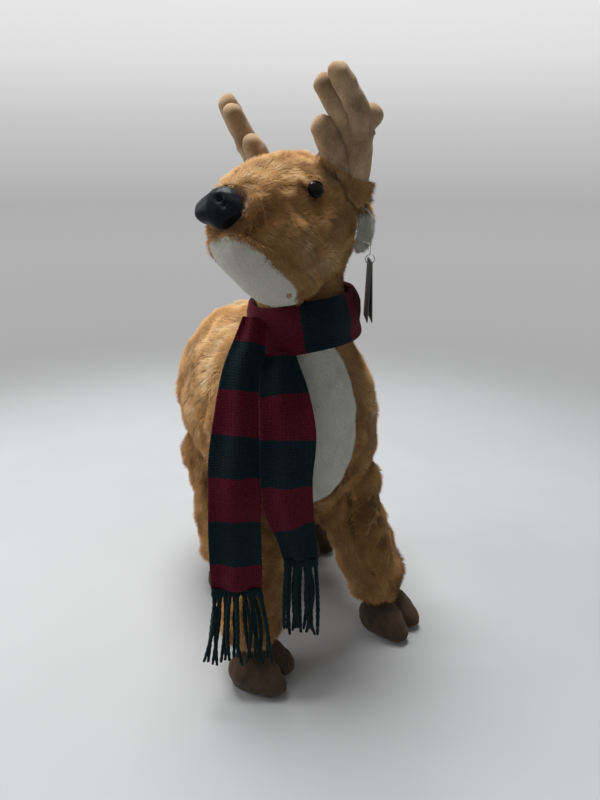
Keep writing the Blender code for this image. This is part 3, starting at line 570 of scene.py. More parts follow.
def blend_colours(tree, kind, factor, first, second):
    """Blend of two colours. The node's sockets go by number, because their names repeat."""
    sockets = {0: factor, 6: first, 7: second}
    return add_node(tree, "Mix", sockets, data_type="RGBA", blend_type=kind).outputs[2]


def noise(tree, scale, detail=NOISE_DETAIL):
    """Noise in the object's own coordinates."""
    place = object_coordinates(tree)
    sockets = {"Vector": place, "Scale": scale, "Detail": detail, "Roughness": NOISE_ROUGHNESS}
    return add_node(tree, "TexNoise", sockets).outputs["Fac"]


def start_material(name, finish):
    material = bpy.data.materials.new(name)
    material.use_nodes = True
    tree = material.node_tree
    shader = tree.nodes["Principled BSDF"]
    for socket, value in zip(("Roughness", "Sheen Weight", "Specular IOR Level"), finish):
        shader.inputs[socket].default_value = value
    return material, tree, shader


def colour_by(tree, shader, socket):
    tree.links.new(socket, shader.inputs["Base Color"])


def object_coordinates(tree):
    return add_node(tree, "TexCoord").outputs["Object"]


def split(tree, vector):
    node = add_node(tree, "SeparateXYZ", {"Vector": vector})
    return node.outputs["X"], node.outputs["Y"], node.outputs["Z"]


def own_map(tree):
    """The two coordinates of the piece's own map."""
    across, along, _ = split(tree, add_node(tree, "UVMap", uv_map="OFBake").outputs["UV"])
    return across, along


def add_bump(tree, shader, height, bump):
    sockets = {"Height": height, "Strength": bump.strength, "Distance": bump.depth}
    normal = add_node(tree, "Bump", sockets).outputs["Normal"]
    tree.links.new(normal, shader.inputs["Normal"])


# Materials
Cloth = namedtuple("Cloth", "slot backing fur", defaults=[None])
Finish = namedtuple("Finish", "roughness sheen specular")
FUR_FINISH = Finish(0.9, 0.12, 0.08)
CLOTH_FINISH = Finish(0.9, 0.2, 0.2)
KNIT_FINISH = Finish(0.95, 0.06, 0.06)
NOSE_FINISH = Finish(0.42, 0.01, 0.1)
CLEAR_FINISH = Finish(0.3, 0, 0.3)
FLOOR_FINISH = Finish(0.9, 0, 0.1)
CLEAR_TRANSMISSION = 0.6
Bump = namedtuple("Bump", "strength depth")
CLOTH_BUMP = Bump(0.3, 0.4 * MM)
STITCH_BUMP = Bump(0.7, 0.9 * MM)
NOSE_BUMP = Bump(0.25, 0.15 * MM)
PLAIN_BUMP = Bump(0.05, 0.1 * MM)

# Noise cells to a metre, as a cloth's mottle is too
NOSE_MOTTLE = 60.0
EYE_MOTTLE = 200.0
PLAIN_GRAIN = 500.0
KNIT_FUZZ = 800.0
CLOTH_GRAIN = 900.0
NOSE_WEAVE = 1500.0

TAN_STOPS = (
    (0.0, (0.085, 0.037, 0.014)),
    (0.26, (0.24, 0.112, 0.040)),
    (0.50, (0.46, 0.240, 0.086)),
    (0.72, (0.58, 0.350, 0.155)),
    (0.86, (0.60, 0.445, 0.255)),
    (1.0, (0.66, 0.555, 0.390)),
)
WHITE_STOPS = ((0.0, (0.54, 0.53, 0.45)), (0.5, (0.66, 0.66, 0.57)), (1.0, (0.74, 0.74, 0.65)))

# Pairs of a dark and a light colour
TANS = ((0.25, 0.125, 0.045), (0.40, 0.21, 0.08))
WHITES = ((0.60, 0.60, 0.52), (0.68, 0.68, 0.59))
ANTLER_BROWNS = ((0.20, 0.128, 0.070), (0.52, 0.365, 0.215))
HOOF_BROWNS = ((0.032, 0.019, 0.011), (0.088, 0.056, 0.033))
CRIMSONS = ((0.050, 0.004, 0.010), (0.140, 0.012, 0.028))
GREENS = ((0.003, 0.009, 0.013), (0.010, 0.025, 0.032))
YARN_GREENS = ((0.002, 0.007, 0.009), (0.005, 0.020, 0.021))
NOSE_BLACKS = ((0.0045, 0.005, 0.007), (0.009, 0.010, 0.015))
EYE_BLACKS = ((0.002, 0.0015, 0.0012), (0.006, 0.0035, 0.0025))
WASHER_WHITES = (grey(0.66), grey(0.78))
# The tag's card is darkened to a deep grey as painted shade, for its shaded face
CARD_PAINTED_SHADE_GREYS = ((0.10, 0.098, 0.095), (0.15, 0.147, 0.142))
CLEAR_GREYS = (grey(0.7), grey(0.85))

ROOT_PAINTED_SHADE_END = 0.6


def fur_material(name, stops, root_painted_shade, frost_and_shade_share):
    """Pile coloured by each tuft's tone, with painted shade darkening it towards its roots, and lighter
    frosted tips.
    """
    material, tree, shader = start_material(name, FUR_FINISH)
    tone, along = own_map(tree)
    # Lighter towards the tips for their frosting, and darker towards the roots as painted shade
    lift = calculate(tree, "MULTIPLY_ADD", along, frost_and_shade_share, -frost_and_shade_share / 2)
    colour = ramp(tree, calculate(tree, "ADD", tone, lift), stops)
    # Painted shade deep in the pile, fading out towards the tips
    depth = ramp(tree, along, ((0.0, grey(root_painted_shade)), (ROOT_PAINTED_SHADE_END, grey(1))))
    colour_by(tree, shader, blend_colours(tree, "MULTIPLY", 1.0, colour, depth))
    return material


PATCH_SHARE = 0.6
MOTTLE_PLACES = (0.32, 0.68)


def cloth_material(name, pair, mottle, finish=CLOTH_FINISH):
    """Mottled cloth: slow patches, fine grain, and the grain's bump."""
    material, tree, shader = start_material(name, finish)
    fine = noise(tree, CLOTH_GRAIN, FINE_DETAIL)
    patches = calculate(tree, "MULTIPLY", noise(tree, mottle), PATCH_SHARE)
    mixed = calculate(tree, "MULTIPLY_ADD", fine, 1 - PATCH_SHARE, patches)
    colour_by(tree, shader, pair_ramp(tree, mixed, pair, MOTTLE_PLACES))
    add_bump(tree, shader, fine, CLOTH_BUMP)
    return material


ANTLER_TIP_COLOUR = (0.46, 0.25, 0.115, 1.0)
ANTLER_TIP_PLACE = 0.72
ANTLER_TIP_SHARE = 0.25


def antler_material():
    """Brown velour, warmer towards the tines' tips."""
    material = cloth_material("antler_velour", ANTLER_BROWNS, mottle=60.0)
    tree = material.node_tree
    shader = tree.nodes["Principled BSDF"]
    brown = shader.inputs["Base Color"].links[0].from_socket
    stops = ((ANTLER_TIP_PLACE, grey(0)), (1.0, grey(ANTLER_TIP_SHARE)))
    share = ramp(tree, own_map(tree)[1], stops)
    colour_by(tree, shader, blend_colours(tree, "MIX", share, brown, ANTLER_TIP_COLOUR))
    return material


STITCH_LENGTH = 2.6 * MM
STITCH_WIDTH = 3.4 * MM
STITCH_SLANT = 0.9
STITCH_TOP = 0.75
STITCH_WAVE = 0.25
STITCH_DIP = 0.5
STRIPE_FUZZ = 0.05
FUZZ_SHARE = 0.4
GROOVE_PAINTED_SHADE = 0.6
GROOVE_PLACE = 0.15
CREST_PLACE = 0.75


def stitches(tree, along, across):
    """Height of rows of slanted stitches, from two places in metres."""
    column = calculate(tree, "FRACT", calculate(tree, "DIVIDE", across, STITCH_WIDTH))
    from_middle = calculate(tree, "ABSOLUTE", calculate(tree, "SUBTRACT", column, 1 / 2))
    row = calculate(tree, "DIVIDE", along, STITCH_LENGTH)
    phase = calculate(tree, "MULTIPLY_ADD", from_middle, STITCH_SLANT, row)
    wave = calculate(tree, "SINE", calculate(tree, "MULTIPLY", phase, math.tau))
    ground = calculate(tree, "MULTIPLY_ADD", from_middle, -STITCH_DIP, STITCH_TOP)
    return calculate(tree, "MULTIPLY_ADD", wave, STITCH_WAVE, ground)


def knit_material(name, count, along, across, green_share=0.5):
    """Striped knit: a crimson and a green stripe to each whole count, with painted shade in the grooves
    between stitches.
    """
    material, tree, shader = start_material(name, KNIT_FINISH)
    fuzz = noise(tree, KNIT_FUZZ)
    height = stitches(tree, along(tree), across(tree))
    drift = calculate(tree, "MULTIPLY_ADD", fuzz, STRIPE_FUZZ, -STRIPE_FUZZ / 2)
    stripe = calculate(tree, "FRACT", calculate(tree, "ADD", count(tree), drift))
    is_green = calculate(tree, "GREATER_THAN", stripe, 1 - green_share)
    crimson, green = (pair_ramp(tree, fuzz, pair) for pair in (CRIMSONS, GREENS))
    colour = blend_colours(tree, "MIX", is_green, crimson, green)
    # Painted shade: darker down in the grooves between the stitches
    shade = ramp(tree, height, ((GROOVE_PLACE, grey(GROOVE_PAINTED_SHADE)), (CREST_PLACE, grey(1))))
    colour_by(tree, shader, blend_colours(tree, "MULTIPLY", 1.0, colour, shade))
    add_bump(tree, shader, calculate(tree, "MULTIPLY_ADD", fuzz, FUZZ_SHARE, height), STITCH_BUMP)
    return material


def plain_material(name, finish, grain, pair, bump=None):
    """Two colours mixed by one noise, which is the bump too where there is one."""
    material, tree, shader = start_material(name, finish)
    fine = noise(tree, grain)
    colour_by(tree, shader, pair_ramp(tree, fine, pair))
    if bump:
        add_bump(tree, shader, fine, bump)
    return material


def nose_material():
    """Plain black, with the bump of a finer weave."""
    material = plain_material("nose_satin", NOSE_FINISH, NOSE_MOTTLE, NOSE_BLACKS)
    tree = material.node_tree
    add_bump(tree, tree.nodes["Principled BSDF"], noise(tree, NOSE_WEAVE, FINE_DETAIL), NOSE_BUMP)
    return material


def clear_material():
    material = plain_material("fastener_clear", CLEAR_FINISH, PLAIN_GRAIN, CLEAR_GREYS, PLAIN_BUMP)
    inputs = material.node_tree.nodes["Principled BSDF"].inputs
    inputs["Transmission Weight"].default_value = CLEAR_TRANSMISSION
    return material


TAN_FUR = fur_material("tan_fur", TAN_STOPS, root_painted_shade=0.78, frost_and_shade_share=0.16)
WHITE_FUR = fur_material("white_fur", WHITE_STOPS, root_painted_shade=0.92, frost_and_shade_share=0.10)
TAN = Cloth("tan_plush", cloth_material("tan_backing", TANS, mottle=60.0), TAN_FUR)
WHITE = Cloth("white_plush", cloth_material("white_backing", WHITES, mottle=60.0), WHITE_FUR)
ANTLER_SUEDE = antler_material()
HOOF_VELOUR = cloth_material("hoof_velour", HOOF_BROWNS, mottle=45.0, finish=Finish(0.9, 0.06, 0.2))
HOOF_SUEDE = Cloth("hoof_suede", HOOF_VELOUR)
YARN = plain_material("green_yarn", Finish(0.95, 0.08, 0.08), CLOTH_GRAIN, YARN_GREENS, Bump(0.6, 0.4 * MM))
NOSE_SATIN = Cloth("nose_cloth", nose_material())
EYE_GLOSS = plain_material("eye_gloss", Finish(0.08, 0, 0.1), EYE_MOTTLE, EYE_BLACKS)
WASHER = plain_material("washer_white", Finish(0.5, 0, 0.3), PLAIN_GRAIN, WASHER_WHITES, PLAIN_BUMP)
CARD = plain_material("tag_card", Finish(0.7, 0, 0.3), PLAIN_GRAIN, CARD_PAINTED_SHADE_GREYS, PLAIN_BUMP)
CLEAR = clear_material()


# Combing and tones
BACK_COMB = (0.0, 0.45, -0.75)
DOWN_COMB = (0.0, 0.1, -1.0)
BODY_SWIRL = 75 * MM
LEG_SWIRL = 60 * MM
HEAD_SWIRL = 34 * MM
BODY_SWIRL_SHARE = 0.75
LEG_SWIRL_SHARE = 0.5
HEAD_SWIRL_SHARE = 0.45
HEAD_DOWN_SHARE = 0.5
WHITE_SWIRL_SHARE = 0.15
NOSE_ROOT = np.array(HEAD @ (Vector((0, -120, -8)) * MM))
# The pile above the eyes lies down over them: place in the head's frame and size in mm, and how strongly
LID_PLACE = (41, -54, 22)
LID_SIZE = 7
LID_SHARE = 3.0
BIG_PATCH_SHARE = 0.06
SMALL_PATCH_SHARE = 0.05
PATCH_RATIO = 3
BODY_TONE = 0.54
LEG_TONE = 0.48
HEAD_TONE = 0.54
WHITE_TONE = 0.55
CHIN_PAINTED_SHADE_TONE = 0.12
# Painted light on the back and painted shade low on the body: a tone step about a height, over a rise, in
# metres
BACK_PAINTED_LIGHT = 0.06
BACK_HEIGHT = 0.32
BACK_RISE = 0.06

# Patches of lighter or darker pile: place in the head's frame, size in mm, and how much lighter
HEAD_PATCHES = (
    ((33, -68, 28), 10, 0.34),
    ((43, -57, 11), 10, -0.55),
    ((39, -67, 12), 7, -0.45),
    ((45, -48, 7), 8, -0.45),
    # The next patch is painted light, which lightens the antler's shadow behind the eye
    ((38, -22, 36), 13, 0.26),
    ((41, -52, -40), 19, 0.30),
    ((44, -22, -38), 16, 0.24),
    ((27, -108, -14), 17, -0.20),
    ((37, -86, -14), 14, -0.15),
    ((50, -14, 0), 15, 0.06),
    ((0, -80, 34), 30, 0.06),
    ((8, -105, 24), 16, 0.22),
)
# Frosted patches of the flank and the left shoulder, and a dark one on the chest, which is painted shade in
# the crease at the bib's lower edge, in the part's mm
BODY_PATCHES = (
    ((60, -95, 300), 34, 0.30),
    ((78, -92, 250), 30, 0.26),
    ((-75, 60, 290), 40, 0.14),
    ((-72, 90, 230), 40, 0.12),
    ((3, -102, 227), 10, -0.25),
)
# The fold down the front of the left foreleg, whose pile is darkened there as painted shade, and where the
# body and the legs are fuller, likewise
FOLD_LINE = ((40.3, -95, 88.5), (36.3, -89.5, 109), (31.4, -83.5, 130), (27.3, -78.6, 148), (22, -76, 190))
FOLD_WIDTH = 3.6
FOLD_PAINTED_SHADE = 0.6
FOLD_SINK = 3.5 * MM
SWELLS = (((52, -72, 206), 22, 5), ((-2, -56, 150), 30, 11))


def mottled(points, size):
    big = lumps(points, size, SEED) * BIG_PATCH_SHARE
    return big + lumps(points, size / PATCH_RATIO, SEED + 1) * SMALL_PATCH_SHARE


def body_comb(points):
    return swirled(BACK_COMB, points, BODY_SWIRL, BODY_SWIRL_SHARE)


def leg_comb(points):
    return swirled(DOWN_COMB, points, LEG_SWIRL, LEG_SWIRL_SHARE)


def down_comb(points):
    return swirled(DOWN_COMB, points, LEG_SWIRL, WHITE_SWIRL_SHARE)


def chin_comb(points):
    return points - NOSE_ROOT


def head_comb(points):
    lid = spread(in_half_head(points) / MM, LID_PLACE, LID_SIZE)[:, None] * LID_SHARE
    down = swirled(DOWN_COMB, points, HEAD_SWIRL, HEAD_SWIRL_SHARE / HEAD_DOWN_SHARE) * HEAD_DOWN_SHARE
    return unit(points - NOSE_ROOT) + down + np.array(DOWN_COMB) * lid


def body_patches(points):
    return heights_at(in_part(points), BODY_PATCHES)


def fold(points):
    """Share, from 1 in the foreleg's fold to 0 away from it."""
    x, y, z = in_part(points).T
    line = np.array(FOLD_LINE).T
    away = np.hypot(x - np.interp(z, line[2], line[0]), y - np.interp(z, line[2], line[1])) / FOLD_WIDTH
    return np.exp(-(away**2)) * ((z > line[2][0]) & (z < line[2][-1]))


def swell(obj):
    """Fuller places and the foreleg's fold, pushed into a skin."""
    places = places_of(obj.data)
    push_out(obj.data, heights_at(in_part(places), SWELLS) * MM - fold(places) * FOLD_SINK)


def body_tone(points):
    # Painted light: lighter above the back's height, and painted shade below it
    top = ((points[:, 2] - BACK_HEIGHT) / BACK_RISE).clip(-1, 1)
    return BODY_TONE + top * BACK_PAINTED_LIGHT + mottled(points, LEG_SWIRL) + body_patches(points)


def leg_tone(points):
    # The foreleg's fold is darkened as painted shade in the crease
    return LEG_TONE + mottled(points, LEG_SWIRL) + body_patches(points) - fold(points) * FOLD_PAINTED_SHADE


def head_tone(points):
    return HEAD_TONE + mottled(points, HEAD_SWIRL) + heights_at(in_half_head(points) / MM, HEAD_PATCHES)


def white_tone(points):
    return WHITE_TONE + lumps(points, HEAD_SWIRL, SEED) * SMALL_PATCH_SHARE


# The chin and throat's white is darker than the bib's: painted shade under the head
def painted_shade_chin_tone(points):
    return np.full(len(points), CHIN_PAINTED_SHADE_TONE)


# Body and legs
LEG_KEYS = ("front_right", "front_left", "hind_right", "hind_left")


def build_body():
    skin = stuffed_cloth("body_skin", "body", BODY_SKIN, "body", TAN)
    swell(skin)
    covers = ["scarf_wrap", "head", "tail", "chest_bib"] + ["leg_" + key for key in LEG_KEYS]
    for side_name, side in SIDES:
        def on_side(spots, normals, side=side):
            return (spots[:, 0] - SHIFT.x) * side > 0
        add_pile("body_fur_" + side_name, skin, "body", TAN, BODY_PILE, body_comb, body_tone, covers,
                 margin=BURY, keep=on_side)


def on_front(spots, normals):
    return normals[:, 1] < 0


def build_bib():
    skin = stuffed_cloth("bib_skin", "chest_bib", BIB_SKIN, "body", WHITE)
    covers = ["scarf_wrap"] + ["leg_" + key for key in LEG_KEYS]
    add_pile("bib_fur", skin, "body", WHITE, BIB_PILE, down_comb, white_tone, covers, keep=on_front)


def build_leg(key):
    name = "leg_" + key
    skin = stuffed_cloth(name + "_skin", name, LEG_SKIN, name, TAN)
    swell(skin)
    covers = ["body", "chest_bib", "hoof_" + key]
    add_pile(name + "_fur", skin, name, TAN, LEG_PILE, leg_comb, leg_tone, covers)
    stuffed_cloth("hoof_" + key + "_cloth", "hoof_" + key, HOOF_SKIN, name, HOOF_SUEDE)


def build_tail():
    skin = stuffed_cloth("tail_skin", "tail", TAIL_SKIN, "tail", TAN)
    add_pile("tail_fur", skin, "tail", TAN, TAIL_PILE, down_comb, body_tone, ["body"], margin=TAIL_MARGIN)


# Head
THROAT_TOP = -42 * MM
EYE_PLACE = Vector((44, -50, 14)) * MM
EYE_CLEARANCE = 6.6 * MM
FACING_SHARE = 0.78
CHEEK_EDGE = Vector((11.9, -117.6, -35.7)) * MM
CHEEK_SLOPE = -0.52
CHIN_REACH = 3.2 * MM
THROAT_HALF = 22 * MM


def on_throat(spots, normals):
    """The front of the throat, which is white like the chin."""
    facing = -np.array(HEAD.to_3x3().col[1])
    x, _, z = in_frame(HEAD, spots).T
    return (z < THROAT_TOP) & (np.abs(x) < THROAT_HALF) & (normals @ facing > FACING_SHARE)


def on_cheek(spots, normals):
    """The chin panel's upper rim, which the cheek's tan pile covers."""
    _, y, z = in_frame(HEAD, spots).T
    return z > CHEEK_EDGE.z + CHEEK_SLOPE * (y - CHEEK_EDGE.y)


def off_cheek(spots, normals):
    return ~on_cheek(spots, normals)


def on_tan(spots, normals):
    """The head's tan part, clear of the eyes and of the chin panel's white."""
    clear = np.linalg.norm(in_half_head(spots) - np.array(EYE_PLACE), axis=1) > EYE_CLEARANCE
    chin = off_cheek(spots, normals) & covered(spots, normals, solid_trees(["chin_panel"]), CHIN_REACH)
    return clear & ~chin & ~on_throat(spots, normals)


def recolour(skin, material, chosen_by):
    """Another backing on the faces that a function chooses."""
    skin.data.materials.append(material)
    count = len(skin.data.polygons)
    centres = np.empty(count * 3)
    normals = np.empty(count * 3)
    skin.data.polygons.foreach_get("center", centres)
    skin.data.polygons.foreach_get("normal", normals)
    chosen = chosen_by(centres.reshape(-1, 3), normals.reshape(-1, 3))
    skin.data.polygons.foreach_set("material_index", chosen.astype(np.int32))


def build_head():
    skin = stuffed_cloth("head_skin", "head", HEAD_SKIN, "head", TAN, "chin_panel")
    recolour(skin, WHITE.backing, on_throat)
    chin = stuffed_cloth("chin_skin", "chin_panel", CHIN_SKIN, "head", WHITE)
    recolour(chin, TAN.backing, on_cheek)
    covers = ["nose", "antler_left", "antler_right", "scarf_wrap", "body"]
    add_pile("head_fur", skin, "head", TAN, HEAD_PILE, head_comb, head_tone,
             covers + ["ear_left", "ear_right"], keep=on_tan)
    add_pile("throat_fur", skin, "head", WHITE, BIB_PILE, chin_comb, painted_shade_chin_tone,
             covers + ["chin_panel"], keep=on_throat)
    add_pile("chin_fur", chin, "head", WHITE, CHIN_PILE, chin_comb, painted_shade_chin_tone,
             covers + ["head"], keep=off_cheek)
    add_pile("cheek_fur", chin, "head", TAN, HEAD_PILE, head_comb, head_tone,
             covers + ["head"], keep=on_cheek)


EAR_ROOT = Vector((37, 27, 30)) * MM
EAR_SWEEP = math.radians(60)
EAR_DROP = math.radians(8)
EAR_PUFF = -19 * MM
EAR_RIM_SHARE = -0.8


def ear_frame(side):
    """Frame at an ear's root: x across the leaf, y out of its lined face, z up."""
    face = Vector((side * math.sin(EAR_SWEEP), -math.cos(EAR_SWEEP), 0))
    up = Vector((side * -math.sin(EAR_DROP), 0, math.cos(EAR_DROP)))
    across = face.cross(up).normalized()
    return root_frame(side, EAR_ROOT, across, face, across.cross(face))


def ear_parts(frame):
    """Functions for an ear's kinds of pile: the tan puff at its root, its white face and its tan back."""
    face = np.array(frame.to_3x3().col[1])

    def is_puff(spots, normals):
        return in_frame(frame, spots)[:, 2] > EAR_PUFF

    def is_white(spots, normals):
        return ~is_puff(spots, normals) & (normals @ face > EAR_RIM_SHARE)

    def is_back(spots, normals):
        return ~is_puff(spots, normals) & ~is_white(spots, normals)

    return is_puff, is_white, is_back


def build_ear(side_name, side):
    ear = "ear_" + side_name
    lining = "ear_lining_" + side_name
    is_puff, is_white, is_back = ear_parts(ear_frame(side))
    skin = stuffed_cloth(ear + "_skin", ear, EAR_SKIN, ear, TAN)
    recolour(skin, WHITE.backing, is_white)
    inner = stuffed_cloth(lining + "_skin", lining, LINING_SKIN, ear, WHITE)
    covers = ["head", "antler_" + side_name]
    coats = (
        ("_puff", TAN, PUFF_PILE, head_tone, is_puff),
        ("_fur", TAN, EAR_PILE, head_tone, is_back),
        ("_white_fur", WHITE, LINING_PILE, white_tone, is_white),
    )
    for name, form, other in ((ear, skin, lining), (lining, inner, ear)):
        for ending, cloth, pile, tone, keep in coats:
            add_pile(name + ending, form, ear, cloth, pile, down_comb, tone, covers + [other], keep=keep)


ANTLER_ROOT = Vector((45, -3, 42)) * MM
ANTLER_PLANE_TURN = math.radians(40)
ANTLER_LEAN_OUT_SHARE = 0.35
ANTLER_LEAN_FORWARD_SHARE = 0.66
# The tines, close to part.py's: outward, up, towards the face, and radius, mm
ANTLER_TINES = (
    ((4, -26, 0, 13), (6, -6, 0, 13), (9, 12, 0, 13), (11, 30, 0, 12)),
    ((-1, -6, 2, 12), (-10, 13, 3, 12), (-17, 29, 3, 11), (-22, 41, 3, 10)),
    ((9, 26, 2, 12), (-1, 45, 5, 11), (-10, 61, 6, 10), (-18, 74, 6, 9)),
    ((13, 30, -3, 11), (9, 53, -5, 10), (1, 70, -5, 10), (-7, 84, -5, 9)),
    ((11, 37, -2, 11), (18, 43, -2, 10), (22, 46, -2, 10)),
)
TINE_SIDES = 26
TINE_SWELL = 1.03
TINE_TIP_SHARE = 0.995
RIGHT_DEPTH_SHARE = -0.2
ANTLER_BUMPS = 0.35 * MM
ROOT_EDGE = 1 * MM
ROOT_SLOPE = -0.7
ANTLER_BUMP_SIZE = 15 * MM


def antler_frame(side):
    """Frame at an antler's root: x outward in its plane, y away from its face, z up its beam."""
    up = Vector((side * ANTLER_LEAN_OUT_SHARE, -ANTLER_LEAN_FORWARD_SHARE, 1)).normalized()
    outward = Vector((side * math.sin(ANTLER_PLANE_TURN), math.cos(ANTLER_PLANE_TURN), 0))
    outward = (outward - up * outward.dot(up)).normalized()
    return root_frame(side, ANTLER_ROOT, outward, outward.cross(up) * side, up)


def tine_rings(rows, depth_share):
    """Rings of one stuffed tine in the antler's frame, round at its tip."""
    points = [(h, -d * depth_share, v, radius) for h, v, d, radius in rows]
    last, before = np.array(points[-1][:3]), np.array(points[-2][:3])
    tip_radius = points[-1][3]
    tip = last + (last - before) / np.linalg.norm(last - before) * tip_radius
    fine, run = smooth_rows(points + [(*tip, tip_radius)])
    beyond = ((run - run[-1] + tip_radius) / tip_radius).clip(0, 1)
    radius = fine[:, 3] * TINE_SWELL * np.sqrt(1 - (beyond * TINE_TIP_SHARE) ** 2)
    ways = unit(np.gradient(fine[:, :3], axis=0))
    across = unit(np.cross(ways, (0, 1, 0)))
    face = np.cross(across, ways)
    turn = ring_turns(TINE_SIDES)
    spokes = np.cos(turn)[None, :, None] * across[:, None] + np.sin(turn)[None, :, None] * face[:, None]
    return (fine[:, None, :3] + radius[:, None, None] * spokes) * MM


def at_root(frame):
    """Function for the foot of an antler, which the head's pile hides."""
    def is_root(spots, normals):
        x, _, z = in_frame(frame, spots).T
        return z < ROOT_EDGE + ROOT_SLOPE * x
    return is_root


def build_antler(side_name, side):
    """Stuffed tines sewn together: each is its own rounded form, so that creases show where they meet."""
    name = "antler_" + side_name
    frame = antler_frame(side)
    bm = bmesh.new()
    for rows in ANTLER_TINES:
        rings = tine_rings(rows, 1 if side > 0 else RIGHT_DEPTH_SHARE)
        bm.from_mesh(swept("tine", rings, np.linspace(0, 1, len(rings))))
    bm.transform(frame)
    if bm.calc_volume(signed=True) < 0:
        bmesh.ops.reverse_faces(bm, faces=bm.faces)
    mesh = finished_mesh(bm, name)
    antler = add_object(name + "_velour", mesh)
    push_out(mesh, lumps(places_of(mesh), ANTLER_BUMP_SIZE, SEED) * ANTLER_BUMPS)
    mesh.shade_smooth()
    dress(antler, ANTLER_SUEDE, "head", [name])
    add_pile(name + "_root_fur", antler, "head", TAN, ROOT_PILE, head_comb, head_tone,
             ["head", "ear_" + side_name], keep=at_root(frame))


# The nose's swellings and creases in the head's frame: place, size, and height in mm
NOSE_FORMS = (
    ((-13, -127, -14), 9, 4.5),
    ((-9, -128, 4), 9, -3.6),
    ((-9, -122, -25), 8, -2.2),
    ((4, -126, -25), 8, 2.8),
    ((14, -122, -26), 7, -2.6),
    ((0, -136, -8), 10, 1.4),
    ((21, -120, -13), 7, 1.8),
    ((10.5, -133, -6), 3.4, -4.4),
    ((14, -130, -10.5), 3.2, -4.2),
    ((17.5, -126, -15), 3.2, -3.2),
    ((0, -118, 11), 12, -3.4),
)
NOSE_DROP = Vector((0, 0, -2)) * MM


def build_nose():
    nose = stuffed_cloth("nose_satin_cloth", "nose", NOSE_SKIN, "head", NOSE_SATIN)
    push = heights_at(in_frame(HEAD, places_of(nose.data)) / MM, NOSE_FORMS) * MM
    push_out(nose.data, push, np.array(HEAD.to_3x3() @ NOSE_DROP))


# Scarf: the ends' routes, close to part.py's: aside, out, height and half width, mm
SCARF_TURN = math.radians(-27)
SCARF_SIDEWAYS = np.array(Matrix.Rotation(SCARF_TURN, 3, "Z").col[0])
SCARF_OUTWARD = -np.array(Matrix.Rotation(SCARF_TURN, 3, "Z").col[1])
NECK_FOOT = Vector((-10, -43, 0)) * MM
LONG_PATH = (
    (-53, 42, 388, 10),
    (-57, 53, 366, 15),
    (-63.5, 67, 340, 18.5),
    (-67, 81, 304, 22),
    (-70.5, 94, 262, 24.5),
    (-71.5, 101, 225, 24.5),
    (-72, 104, 180, 25),
    (-72, 107, 130, 25),
)
SHORT_PATH = (
    (-29, 53.5, 357, 15),
    (-28.5, 58, 349, 16.5),
    (-27, 68, 340, 19.5),
    (-24, 82, 322, 23),
    (-20.5, 96, 290, 25.5),
    (-22, 102.5, 250, 24),
    (-19.5, 104, 215, 22.5),
    (-13, 104, 190, 19),
    (-8.5, 104, 163, 16),
)
# Each end's route, the heights of its stripes' edges in mm, its count of yarns and the share of their splay.
# An even place in the row of stripes starts a crimson one
ENDS = {
    "long": (LONG_PATH, (400, 366.7, 325.9, 286.3, 247.7, 204.5, 157.6, 118), 17, 0.5),
    "short": (SHORT_PATH, (390, 354.4, 324.5, 286.2, 241.0, 199.1, 158), 13, 0.2),
}
STRIPE_PLACES = 8
END_SIDES = 28
END_HALF_THICKNESS = 2.4 * MM
END_SWELL = 0.6 * MM
END_SQUARE_POWER = 0.5
FOLD_DEPTH = 2.2 * MM
FOLD_WAVES = 1.5
RIPPLE_DEPTH = 0.9 * MM
RIPPLE_LENGTH = 19
RIPPLE_SLANT = 3


def end_ring(place, way, half, run):
    """One closed ring of a hanging end: a flat strip, folded along and rippled down its length."""
    across = SCARF_SIDEWAYS - way * way.dot(SCARF_SIDEWAYS)
    across /= np.linalg.norm(across)
    turn = ring_turns(END_SIDES)
    x = np.cos(turn)
    thick = squared(np.sin(turn), END_SQUARE_POWER) * END_HALF_THICKNESS
    sag = FOLD_DEPTH * np.cos(math.pi * FOLD_WAVES * x)
    sag = sag + RIPPLE_DEPTH * np.sin(RIPPLE_SLANT * x + run / RIPPLE_LENGTH)
    return place + np.outer(x * half, across) + np.outer(thick + sag, np.cross(way, across))


def hanging_end(key, path, stripes):
    rows, run = smooth_rows(path)
    aside, out, height, half = rows.T[:, :, None] * MM
    half = half + END_SWELL
    places = np.array(NECK_FOOT + SHIFT) + aside * SCARF_SIDEWAYS + out * SCARF_OUTWARD + height * UP
    ways = unit(np.gradient(places, axis=0))
    rings = np.array([end_ring(*row) for row in zip(places, ways, half[:, 0], run)])
    counts = np.arange(len(stripes))[::-1]
    along = np.interp(rows[:, 2], np.array(stripes[::-1], float), counts) / STRIPE_PLACES
    name = "scarf_" + key + "_knit"
    return add_object(name, swept(name, rings, along)), places[-1], half[-1, 0]


def end_count(tree):
    return calculate(tree, "MULTIPLY", own_map(tree)[1], STRIPE_PLACES / 2)


def end_along(tree):
    return split(tree, object_coordinates(tree))[2]


def end_across(tree):
    place = object_coordinates(tree)
    node = add_node(tree, "VectorMath", {0: place, 1: SCARF_SIDEWAYS}, operation="DOT_PRODUCT")
    return node.outputs["Value"]


def build_scarf():
    knit = knit_material("striped_knit", end_count, end_along, end_across)
    for key, (path, stripes, yarns, splay) in ENDS.items():
        end, foot, half = hanging_end(key, path, stripes)
        node = "scarf_end_" + key
        fringe = build_fringe(key, foot, half, yarns, splay)
        dress(fringe, YARN, node, ["fringe_" + key])
        dress(end, knit, node, [node])


